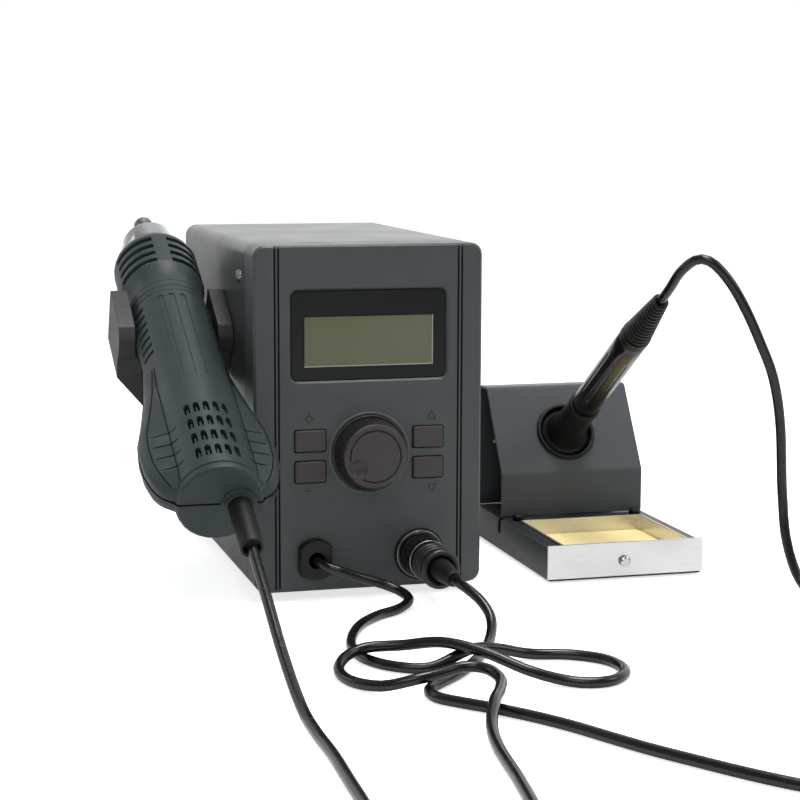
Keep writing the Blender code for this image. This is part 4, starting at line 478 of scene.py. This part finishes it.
def pan_screw(name, place, node, radius=2.8, height=1.5):
    """Pan-head screw with a cross recess, sunk in a node's face."""
    shape = bmesh.new()
    turns, levels = 48, 12
    rings = []
    for level in range(levels + 1):
        share = level / levels
        reach = radius * share
        ring = []
        for step in range(turns):
            angle = 2 * math.pi * step / turns
            x, y = reach * math.cos(angle), reach * math.sin(angle)
            top = height * (1 - share ** 4) ** 0.5 + 0.02
            near, far = min(abs(x), abs(y)), max(abs(x), abs(y))
            if near < 0.16 * radius and far < 0.56 * radius:
                top -= 0.5 * height
            ring.append(shape.verts.new(place @ (Vector((x, y, top)) * MM)))
            if level == 0:
                break
        rings.append(ring)
    base = [shape.verts.new(place @ (Vector((radius * math.cos(a), radius * math.sin(a), -0.1)) * MM))
            for a in (2 * math.pi * step / turns for step in range(turns))]
    rings.append(base)
    placed(joined_rings(shape, rings, turns), name, node, 0, SCREW_FINISH, 40, stands=False)


def case_screws():
    """Four screws on each side of the cover and four in the rear panel's corners."""
    for side, turn in (("left", -1), ("right", 1)):
        outwards = Matrix.Rotation(turn * math.pi / 2, 4, "Y")
        for end, y in (("front", 28.8), ("rear", 158)):
            for level, z in (("high", 137.4), ("low", 18.5)):
                pan_screw(f"case_screw_{side}_{end}_{level}", on_unit(50 * turn, y, z) @ outwards, "cover")
        for level, z in (("low", 12), ("high", 144)):
            place = on_unit(42 * turn, 167, z) @ Matrix.Rotation(-math.pi / 2, 4, "X")
            pan_screw(f"rear_screw_{side}_{level}", place, "rear_panel", 2.6, 1.4)


def stroke(shape, start, end, width, front=-0.06, back=0.05):
    """One straight mark facing the viewer, from point to point in millimetres from the unit's frame."""
    start, end = Vector(start), Vector(end)
    run = (end - start).normalized()
    across = Vector((-run.y, run.x)) * width / 2
    corners = [start - across, end - across, end + across, start + across]
    face = [shape.verts.new(Vector((c.x, front, c.y)) * MM + STATION) for c in corners]
    base = [shape.verts.new(Vector((c.x, back, c.y)) * MM + STATION) for c in corners]
    shape.faces.new(face)
    shape.faces.new(base[::-1])
    for i in range(4):
        shape.faces.new((face[i], face[(i + 1) % 4], base[(i + 1) % 4], base[i]))


def outline_marks(shape, points, width):
    """Marks along a closed outline."""
    for start, end in zip(points, points[1:] + points[:1]):
        stroke(shape, start, end, width)


def panel_marks():
    """Simple marks above and below the four keys: a target, a dash and two triangles."""
    width = 0.38
    shape = bmesh.new()
    x, z = -26.3, 78.6
    ring = [(x + 1.25 * math.cos(math.pi * i / 8), z + 1.25 * math.sin(math.pi * i / 8)) for i in range(16)]
    outline_marks(shape, ring, width)
    for dx, dz in ((1, 0), (-1, 0), (0, 1), (0, -1)):
        stroke(shape, (x + 1.25 * dx, z + 1.25 * dz), (x + 2.3 * dx, z + 2.3 * dz), width)
    stroke(shape, (-28, 47.6), (-25, 47.6), width)
    outline_marks(shape, [(25.7, 76.7), (29.3, 76.7), (27.5, 80.4)], width)
    outline_marks(shape, [(26, 48.3), (29.6, 48.3), (27.8, 44.6)], width)
    bmesh.ops.recalc_face_normals(shape, faces=shape.faces)
    ink = moulded_abs("pad_printed_ink", "1E2223", "1A1E1F", 0.5)
    placed(shape, "key_marks", "bezel", 0, ink, stands=False)


def panel_joints():
    """Near-black strips on the floors of the two fine upright grooves near each side of the front: painted
    shade in the grooves.
    """
    shape = bmesh.new()
    for x in (-40.9, -39.3, 39.3, 40.9):
        stroke(shape, (x, 5.5), (x, 150.5), 0.78, 0.3, 0.49)
    bmesh.ops.recalc_face_normals(shape, faces=shape.faces)
    # Near black, painting the shade that falls into the grooves.
    groove_painted_shade = moulded_abs("groove_floor_painted_shade", "0B0C0C", "080909", 0.7, shine=0.1)
    placed(shape, "panel_joint_floors", "bezel", 0, groove_painted_shade, stands=False)


def rocker_marks():
    """The line and the ring of a power switch, printed on the two halves of its paddle."""
    tree = surface_of("rocker")
    shape = bmesh.new()

    def printed(outline):
        corners = []
        for x, z in outline:
            spot, normal = tree.ray_cast(Vector((x * MM, 0.3, z * MM)), Vector((0, -1, 0)))[:2]
            if spot is None:
                return
            corners.append(shape.verts.new(spot + normal * 0.03 * MM))
        shape.faces.new(corners)

    x, upper, lower = -8.15, 35.6, 28.2
    printed([(x + 0.25 * i, upper + 1.4 * j) for i, j in ((-1, -1), (1, -1), (1, 1), (-1, 1))])
    for step in range(20):
        low, high = (2 * math.pi * s / 20 for s in (step, step + 1))
        printed([
            (x + reach * math.cos(angle), lower + reach * math.sin(angle))
            for reach, angle in ((1.0, low), (1.45, low), (1.45, high), (1.0, high))
        ])
    bmesh.ops.recalc_face_normals(shape, faces=shape.faces)
    white = moulded_abs("marking_paint_white", "D8D8D4", "CCCCC8", 0.5)
    placed(shape, "rocker_marks", "rocker", 0, white, stands=False)


def inlet_blades():
    """Nickel-plated blades in the mains inlet, with eased tips."""
    nickel = bright_chrome("nickel_plated_brass", "B9B4AA", "ADA89E", 0.22)
    for name, x, z in (("left", -28.5, 30), ("earth", -21.5, 34), ("right", -14.5, 30)):
        shape = bmesh.new()
        bmesh.ops.create_cube(shape, size=1)
        for vertex in shape.verts:
            tip = 0.7 if vertex.co.y > 0 else 1
            reach = Vector((2.06 * tip * vertex.co.x, 12.2 * vertex.co.y, 4.06 * tip * vertex.co.z))
            vertex.co = (Vector((x, 159.2, z)) + reach) * MM + STATION
        bmesh.ops.recalc_face_normals(shape, faces=shape.faces)
        placed(shape, f"inlet_blade_{name}", "power_inlet", 0.3 * MM, nickel, stands=False)


def socket_trim():
    """Bright rims on the socket's flange and on the front of the coupling ring, and the flange's gasket."""
    gasket = [(10.6, -0.1), (10.6, 0.5), (10.9, 0.6), (11.2, 0.45), (11.3, 0.2), (11.3, -0.1)]
    rim = [(9.75, 1.5), (9.78, 1.72), (10, 1.82), (10.3, 1.7), (10.42, 1.5), (10.42, 1.2), (9.75, 1.2)]
    ring = [(8.2, 15.8), (8.25, 16.06), (8.5, 16.12), (8.78, 15.95), (8.86, 15.7), (8.8, 15.4), (8.2, 15.4)]
    black = dull_skin("gasket_rubber_black", "0B0B0C", "080809", 0.5)
    for name, node, profile, turns, finish in (
        ("socket_gasket", "socket_shell", gasket, 72, black),
        ("socket_rim", "socket_shell", rim, 96, SCREW_FINISH),
        ("coupling_rim", "plug_ring", ring, 96, SCREW_FINISH),
    ):
        placed(turned(profile, SOCKET_PLACE, turns), name, node, 0, finish, 60, stands=False)


def screen_edges():
    """Polished edges of the screen glass at the bottom and on the right, drawn paler than the screen as a
    painted highlight.
    """
    shape = bmesh.new()
    stroke(shape, (-28.1, 100.55), (28.1, 100.55), 0.42, 1.02, 1.35)
    stroke(shape, (28.1, 100.4), (28.1, 121.7), 0.36, 1.02, 1.35)
    bmesh.ops.recalc_face_normals(shape, faces=shape.faces)
    # Paler than the screen's glass: a painted highlight along the edges.
    edge = clear_window("glass_edge_painted_highlight", "A3A596", "999B8B", 0.2, 0.5)
    placed(shape, "screen_edge_glass", "lcd_module", 0, edge, stands=False)


def chrome_nozzle():
    """Bright plated collar with its flat end, and the satin outlet pipe with its rolled lip."""
    head_end, collar, pipe = 190, 12.5, 3.9
    end = head_end + 14
    profile = [
        (collar - 1, head_end - 4.8), (14.3, head_end - 4.8), (14.3, head_end - 2.8),
        (collar, head_end - 2.8), (collar, head_end + 2), (collar - 0.25, head_end + 2.2),
        (collar - 0.25, head_end + 2.8),
        (collar, head_end + 3), (collar, end - 0.8), (collar - 0.8, end), (pipe + 1.5, end + 1.1),
        (pipe - 0.2, end + 1.3), (pipe - 0.2, end + 0.4), (collar - 1, end - 1),
    ]
    placed(turned(softened(profile, 0.4), HANDLE_PLACE, 72), "nozzle_plated", "nozzle", angle=60)
    outlet = [
        (pipe + 0.5, end + 0.9), (pipe + 0.5, end + 1.6), (pipe, end + 2.2), (pipe, end + 16.6),
        (pipe + 0.45, end + 17), (pipe + 0.45, end + 18.7), (pipe, end + 19), (pipe - 0.8, end + 18.9),
        (pipe - 0.8, end + 0.6),
    ]
    satin = rolled_steel("satin_pipe_heat_greyed", "77787A", "6A6B6D", 0.42, 2)
    pipe_shape = turned(softened(outlet, 0.3), HANDLE_PLACE, 48)
    placed(pipe_shape, "nozzle_pipe", "nozzle", 0, satin, 60, stands=False)


def soldering_iron():
    """Rubber grip with its flange, the long polished handle and the ribbed boot."""
    seat = -2.8
    grip = [
        (0, seat), (6.8, seat), (7.8, seat + 0.2), (11.2, seat + 0.4), (11.8, seat + 1), (11.8, seat + 2.6),
        (11, seat + 3.4), (9.8, seat + 4.4), (9, seat + 7), (8.5, seat + 9.5), (8, seat + 13),
        (7.6, seat + 17), (7.2, 26), (7.1, 28), (7.15, 28.6), (7.6, 29), (7.6, 31.4), (7.2, 31.9), (0, 32),
    ]
    placed(turned(softened(grip, 0.5), IRON_PLACE, 64), "iron_grip_turned", "iron_grip", angle=55)
    start, end, radius = 32.3, 101, 6.75

    def flute(angle, reach, height):
        if not start + 13 < height < end - 13:
            return 0
        ends = min(1, (height - start - 13) / 2.5, (end - 13 - height) / 2.5)
        return -0.18 * ends * max(0, math.cos(8 * angle)) ** 3

    body = [(0, start), (radius - 0.4, start), (radius - 0.1, start + 0.5), (radius, start + 6)]
    body += [(radius, start + 12.5 + 0.5 * i) for i in range(12)]
    body += [(radius, 54 + 4 * i) for i in range(7)]
    body += [(radius, end - 19 + 0.5 * i) for i in range(13)]
    body += [(radius, end - 8), (radius - 0.3, end - 1), (radius - 0.8, end - 0.3), (0, end - 0.3)]
    placed(turned(body, IRON_PLACE, 160, flute), "iron_handle_fluted", "iron_handle", angle=40)
    rings, length = 13, 35
    pitch = length / (rings + 1.4)
    boot = [(0, end), (6.75, end), (6.75, end + 1.9 * pitch)]
    for number in range(rings):
        share = number / (rings - 1)
        outer = 6.45 + (3.7 - 6.45) * share
        low = end + (1.9 + number * 0.96) * pitch
        boot += [
            (outer - 0.75, low + 0.1 * pitch), (outer - 0.75, low + 0.38 * pitch), (outer, low + 0.5 * pitch),
            (outer - 0.05, low + 0.9 * pitch),
        ]
    boot += [(3.3, end + length), (2.2, end + length), (0, end + length - 1)]
    placed(turned(boot, IRON_PLACE, 56), "iron_boot_ribbed", "iron_boot", angle=40)


def cord_plug():
    """Screwed plug: knurled coupling ring, body with grip rings and a rounded end, and the boot's cone."""
    place = SOCKET_PLACE

    def knurl(angle, radius, height):
        return -0.32 * (0.5 - 0.5 * math.cos(36 * angle)) if 3.9 < height < 14.4 and radius > 8.2 else 0

    ring = [
        (7, 2.6), (8.3, 2.6), (8.75, 3), (8.75, 3.8), (8.5, 4), (8.75, 4.3), (8.75, 13.8), (8.5, 14.2),
        (8.75, 14.6), (8.75, 15.6), (8.3, 16), (7, 16),
    ]
    placed(turned(ring, place, 216, knurl), "coupling_ring_knurled", "plug_ring", angle=40)
    body = [(0, -3.9), (6.2, -3.9), (6.2, 2), (6.7, 2.4), (6.7, 16.3), (7.6, 16.3), (7.6, 18.4), (8.3, 18.7)]
    for start in (18.9, 22.6, 26.3):
        body += [(8.6, start), (8.6, start + 2), (8.1, start + 2.4), (8.1, start + 3.2)]
    body += [
        (8.3, 30.2), (8.6, 30.8), (8.6, 32), (8.35, 33.2), (7.7, 34), (6.8, 34.2), (6, 33.8), (5.3, 33),
        (5.05, 32), (5.05, 29), (0, 29),
    ]
    matt = dull_skin("plug_body_matt", "1C1C1C", "171717", 0.4, 0.45)
    placed(turned(softened(body, 0.35), place, 72), "plug_body_turned", "plug_body", 0, matt, 50)
    boot = [
        (0, 29.3), (4.95, 29.3), (4.95, 34), (4.7, 37), (4.3, 41), (3.9, 45), (3.55, 49), (3.3, 51.2),
        (2.9, 51.9), (2.2, 52), (0, 51.4),
    ]
    placed(turned(softened(boot, 0.4), place, 48), "plug_boot_cone", "plug_boot", angle=50)
    shell = [
        (6.5, 2.15), (9.3, 2.2), (9.6, 1.9), (9.6, 1.55), (10.2, 1.5), (10.55, 1.2), (10.55, 0.35),
        (8, 0.3), (8, -10), (0, -10), (0, -5), (6.5, -5),
    ]
    placed(turned(shell, place, 72), "socket_ring", "socket_shell", angle=40)


def handle_end():
    """Rubber sleeve at the handle's cord, open at its end round the cord."""
    place = HANDLE_PLACE @ Matrix.Translation(Vector((7.4, 0, 0)) * MM)
    boot = [
        (0, 4), (3.25, 4), (3.25, -0.4), (4.8, -0.4), (4.8, -26.5), (4.72, -28.4), (4.4, -28.95),
        (3.7, -28.9), (3.3, -28), (3.2, -25), (0, -25),
    ]
    placed(turned(softened(boot, 0.3), place, 48), "handle_boot_sleeve", "handle_boot", angle=50)


def true_round(piece, place, narrow, wide):
    """Give a body's flat strips the normals of its true round, between two radii in millimetres."""
    graph = bpy.context.evaluated_depsgraph_get()
    mesh = bpy.data.meshes.new_from_object(piece.evaluated_get(graph))
    piece.modifiers.clear()
    piece.data = mesh
    back = place.inverted()
    normals = [corner.vector.copy() for corner in mesh.corner_normals]
    for face in mesh.polygons:
        facing = back.to_3x3() @ face.normal
        if abs(facing.z) > 0.12:
            continue
        for loop in face.loop_indices:
            spot = back @ mesh.vertices[mesh.loops[loop].vertex_index].co
            out = Vector((spot.x, spot.y, 0))
            if narrow * MM < out.length < wide * MM and out.normalized().dot(facing) > 0.96:
                normals[loop] = place.to_3x3() @ out.normalized()
    mesh.normals_split_custom_set(normals)


def surface_of(node):
    """A frame node's surface, ready for rays."""
    mesh = frame["nodes"][node].data
    return BVHTree.FromPolygons([v.co for v in mesh.vertices], [list(p.vertices) for p in mesh.polygons])


# Length and half width of the handle's lobes in millimetres, and their outline as shares of both
LOBE_LENGTH, LOBE_REACH = 97, 27.8
LOBE_STATIONS = [
    (0.015, 0.597), (0.03, 0.7), (0.05, 0.79), (0.08, 0.86), (0.12, 0.917), (0.2, 0.982), (0.31, 1),
    (0.41, 0.971), (0.515, 0.885), (0.62, 0.806), (0.72, 0.741), (0.86, 0.68), (1, 0.622),
]


def handle_seams():
    """Near-black lines over the parting line round the lobes and over the tail, painting the shade in the
    shells' gap, and over the creases that frame each lobe's flat top, painting the shade along the folds.
    """
    # Near-black tubes: on the parting line they paint the shade in the gap between the shells, on the creases
    # the shade of the folds.
    groove = moulded_abs("parting_and_crease_painted_shade", "060707", "040505", 0.7, shine=0.1)
    tree = surface_of("handle_upper_shell")
    down = HANDLE_PLACE.to_3x3() @ Vector((0, 1, 0))

    def at(x, y, z):
        return HANDLE_PLACE @ (Vector((x, y, z)) * MM)

    seams, creases = [], []
    for side in (-1, 1):
        lobe = [(LOBE_LENGTH * along, LOBE_REACH * across) for along, across in LOBE_STATIONS]
        edge = [at(side * max(reach - 0.05, 17.75), 0, height) for height, reach in lobe]
        seams.append([at(side * 16.8, 0, 0.3), at(side * 17.4, 0, 1)] + edge + [at(side * 17.8, 0, 130)])
        outer, inner = [], []
        for height, reach in lobe[2:-1]:
            for crease, x in ((outer, reach - 3.2), (inner, min(15.6, reach - 4))):
                spot = tree.ray_cast(at(side * x, -40, height), down)[0]
                if spot:
                    crease.append(spot)
        creases += [outer, inner]
    seams += [[at(-17, 0, 0), at(0, 0, 0)], [at(14.9, 0, 0), at(17, 0, 0)]]
    lines_along("handle_parting_line", "handle_upper_shell", seams, 0.4 * MM, groove)
    lines_along("handle_lobe_creases", "handle_upper_shell", creases, 0.22 * MM, groove)


def slot_louvres():
    """The guard bar moulded in each air slot over the blower, lower than the barrel's skin."""
    shape = bmesh.new()
    for place in (12.5, 22.5, 32.4, 42.4):
        for column in range(-2, 3):
            turn = Matrix.Rotation(math.radians(13 * column), 4, "Z")
            bar = bmesh.ops.create_cube(shape, size=1)["verts"]
            for vertex in bar:
                x, y, z = vertex.co
                lean = 0.8 if z > 0 else 0
                spot = Vector((1.1 * x, -16.6 + 1.3 * y + lean, place - 0.9 + 5.4 * z))
                vertex.co = HANDLE_PLACE @ (turn @ (spot * MM))
    bmesh.ops.recalc_face_normals(shape, faces=shape.faces)
    placed(shape, "air_slot_bars", "handle_upper_shell", 0.2 * MM, stands=False)


def wet_sponge():
    """Cellulose sponge: a soft-edged pad with open pores, crowned a little between its corners."""
    low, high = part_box("sponge")
    middle, half = (low + high) / 2, (high - low) / 2
    edge = 1.6 * MM
    shape = bmesh.new()
    bmesh.ops.create_cube(shape, size=2)
    bmesh.ops.subdivide_edges(shape, edges=shape.edges, cuts=63, use_grid_fill=True)
    for vertex in shape.verts:
        x, y, z = vertex.co
        spot = Vector((x * half.x, y * half.y, z * half.z))
        inner = Vector([max(edge - h, min(h - edge, s)) for h, s in zip(half, spot)])
        out = spot - inner
        normal = out.normalized() if out.length > 1e-9 else Vector((0, 0, 1))
        place = middle + (inner + normal * edge if out.length > 1e-9 else spot)
        cells = noise.voronoi(place / (2.6 * MM), distance_metric="DISTANCE")[0]
        fine = noise.voronoi(place / (1.3 * MM), distance_metric="DISTANCE")[0]
        pore = max(0, 0.34 - cells[0]) * 2.0 + max(0, 0.3 - fine[0]) * 0.9
        sag = 0.35 * (1 - abs(x) ** 3) * (1 - abs(y) ** 3) if z > 0.9 else 0
        vertex.co = place - normal * (pore + 0.25 * noise.noise(place / (9 * MM)) ** 2 - sag * 0.4) * MM
    bmesh.ops.recalc_face_normals(shape, faces=shape.faces)
    pad = placed(shape, "sponge_pad", "sponge", angle=180)


def stand_plugs():
    """Black press-in plugs in the base's two holes, and the small rivet in the hood's back."""
    rivet = [(0, 0.8), (0.45, 0.72), (0.8, 0.45), (0.95, 0), (0.95, -0.2)]
    shape = turned(rivet, facing_front(91.35, 47.5, 107.95), 24)
    aluminium = bright_chrome("rivet_aluminium", "DADADA", "CFCFCF", 0.4)
    placed(shape, "hood_rivet", "stand_hood", 0, aluminium, 60, stands=False)
    plug = [(0, 0.0), (2.6, 0.0), (2.75, 0.4), (2.7, 1.5), (2.3, 2.2), (1.2, 2.45), (0, 2.5)]
    for side, x in (("left", 90.4), ("right", 149.4)):
        shape = turned(softened(plug, 0.3), on_unit(x, 67.6, 16.4), 32)
        placed(shape, f"base_plug_{side}", "stand_base", 0, FINISHES["rubber"], 60, stands=False)


handle_lead, handle_route, handle_length = laid_cord("handle_lead", "handle_cord", HANDLE_CORD)
iron_lead, iron_route, iron_length = laid_cord("iron_lead", "iron_cord", IRON_CORD)

control_knob()
chrome_nozzle()
soldering_iron()
cord_plug()
handle_end()
wet_sponge()
case_screws()
panel_marks()
panel_joints()
screen_edges()
socket_trim()
rocker_marks()
inlet_blades()
handle_seams()
slot_louvres()
stand_plugs()

# Edge radius in millimetres of each remaining part, as its sheet or mould leaves it
EDGES = {
    "bezel": 0.45, "cover": 0.35, "cradle": 0.9, "stand_hood": 0.35, "stand_base": 0.35, "stand_tray": 0.2,
    "handle_upper_shell": 0.35, "handle_lower_shell": 0.35, "head_sleeve": 0.3, "cord_gland": 0.5,
    "display_window": 0.3, "lcd_module": 0.15, "rear_panel": 0.2, "main_board": 0.1, "display_board": 0.1,
}
# Parts whose finish isn't quite that of the other parts in their slot
OWN_FINISH = {
    "cradle": moulded_abs("moulded_abs_matt_dark", "383838", "333333", 0.46, shine=0.3),
    "stand_hood": powder_coat("powder_coat_hood", "515456", "4C5052", 0.36),
    "stand_base": powder_coat("powder_coat_base", "303233", "2B2D2E", 0.36),
}
for node, thing in frame["nodes"].items():
    if not thing.hide_render:
        piece = eased(node, EDGES.get(node, 0.25) * MM, OWN_FINISH.get(node))
        if node in ("handle_upper_shell", "handle_lower_shell"):
            true_round(piece, HANDLE_PLACE, 16.2, 18.2)
        elif node == "head_sleeve":
            true_round(piece, HANDLE_PLACE, 16.5, 19.6)


# Floor, lights and camera

def floor_paper():
    """Matt white paper: the camera and bright metal see it nearly white, and it keeps the shadow."""
    finish, tree, shader, place = started("studio_paper", {"Roughness": 0.9, "IOR": 1.4})
    tree.links.new(clouded(tree, place, "F6F6F6", "F2F2F2", 60 * MM), shader.inputs["Base Color"])
    tree.links.new(grained(tree, place, 1.5 * MM, 0.02 * MM, 0.3), shader.inputs["Normal"])
    rays = add(tree, "LightPath")
    plain = add(tree, "MapRange", {3: 0.0, 4: 0.15}, {0: rays.outputs["Is Glossy Ray"]})
    level = add(tree, "MapRange", {4: 0.72}, {0: rays.outputs["Is Camera Ray"], 3: plain.outputs[0]})
    glow = add(tree, "Emission", {"Color": (1, 1, 1, 1)}, {"Strength": level.outputs[0]})
    both = add(tree, "AddShader", (), {0: shader.outputs[0], 1: glow.outputs[0]})
    tree.links.new(both.outputs[0], tree.nodes["Material Output"].inputs["Surface"])
    return finish


def studio():
    """White floor, and the air round it, which bright parts mirror as a lit backdrop."""
    shape = bmesh.new()
    bmesh.ops.create_grid(shape, x_segments=8, y_segments=8, size=3)
    mesh = bpy.data.meshes.new("studio_floor")
    shape.to_mesh(mesh)
    shape.free()
    floor = bpy.data.objects.new("studio_floor", mesh)
    bpy.context.scene.collection.objects.link(floor)
    floor.location.z = -0.05 * MM
    mesh.materials.append(floor_paper())
    world = bpy.data.worlds.new("studio_air")
    world.use_nodes = True
    tree = world.node_tree
    air = tree.nodes["Background"]
    air.inputs["Color"].default_value = colour("F1F4F7")
    air.inputs["Strength"].default_value = 0.4
    rays = add(tree, "LightPath")
    # Reflections find a white backdrop low behind the set, darker up high and on the left, and a dim room
    # on the viewer's side
    way = add(tree, "SeparateXYZ", (), {0: add(tree, "TexCoord").outputs["Generated"]})
    left = add(tree, "MapRange", {1: -0.5, 2: 0.0, 3: 0.35, 4: 1.0}, {0: way.outputs["X"]})
    high = add(tree, "MapRange", {1: 0.2, 2: 0.7, 3: 1.5, 4: 0.75}, {0: way.outputs["Z"]})
    sweep = add(tree, "Math", {"operation": "MULTIPLY"}, {0: left.outputs[0], 1: high.outputs[0]})
    lit = add(tree, "MapRange", {1: -0.3, 2: 0.5, 3: 0.3}, {0: way.outputs["Y"], 4: sweep.outputs[0]})
    mirrored = add(tree, "Background", {"Color": (1, 1, 1, 1)}, {"Strength": lit.outputs[0]})
    backdrop = add(tree, "Background", {"Color": (1, 1, 1, 1), "Strength": 1.0})
    first = add(
        tree, "MixShader", (), {0: rays.outputs["Is Glossy Ray"], 1: air.outputs[0], 2: mirrored.outputs[0]}
    )
    seen = add(
        tree, "Math", {"operation": "MAXIMUM"},
        {0: rays.outputs["Is Camera Ray"], 1: rays.outputs["Is Transmission Ray"]},
    )
    either = add(tree, "MixShader", (), {0: seen.outputs[0], 1: first.outputs[0], 2: backdrop.outputs[0]})
    tree.links.new(either.outputs[0], tree.nodes["World Output"].inputs["Surface"])
    bpy.context.scene.world = world


def lamp(name, place, aim, size, power):
    """A softbox in metres and watts, turned to what it lights."""
    light = bpy.data.lights.new(name, "AREA")
    light.shape = "RECTANGLE"
    light.size, light.size_y = size
    light.energy = power
    holder = bpy.data.objects.new(name, light)
    bpy.context.scene.collection.objects.link(holder)
    holder.location = place
    holder.rotation_euler = (Vector(aim) - Vector(place)).to_track_quat("-Z", "Y").to_euler()


def photograph_camera():
    """The viewing angle found from the unit's edges and the stand's corners."""
    yaw, pitch, roll = (math.radians(angle) for angle in (-15.419, 7.988, -0.163))
    forward = Vector((-math.sin(yaw) * math.cos(pitch), math.cos(yaw) * math.cos(pitch), -math.sin(pitch)))
    right = Vector((math.cos(yaw), math.sin(yaw), 0))
    turn = Matrix.Rotation(roll, 3, forward)
    right, up = turn @ right, turn @ right.cross(forward)
    camera = bpy.data.objects.new("camera", bpy.data.cameras.new("camera"))
    bpy.context.scene.collection.objects.link(camera)
    camera.data.lens = 90.66
    camera.data.sensor_width = 36
    camera.data.clip_start = 0.05
    camera.data.clip_end = 20
    pose = Matrix((right, up, -forward)).transposed().to_4x4()
    pose.translation = Vector((-239.85, -864.65, 204.9)) * MM
    camera.matrix_world = pose
    bpy.context.scene.camera = camera


studio()
lamp("softbox_left", (-0.75, 0.5, 0.5), (-0.05, 0.05, 0.1), (0.5, 0.4), 0.6)
lamp("softbox_front", (-0.6, -1.1, 1.2), (0, -0.05, 0.05), (0.9, 0.9), 5.5)
lamp("softbox_right", (0.9, -0.5, 0.8), (0, -0.05, 0.05), (0.6, 0.6), 3)
lamp("softbox_top", (0.1, -0.05, 1.2), (0, 0, 0), (0.5, 0.45), 10)
photograph_camera()
bpy.context.scene.view_settings.view_transform = "Standard"
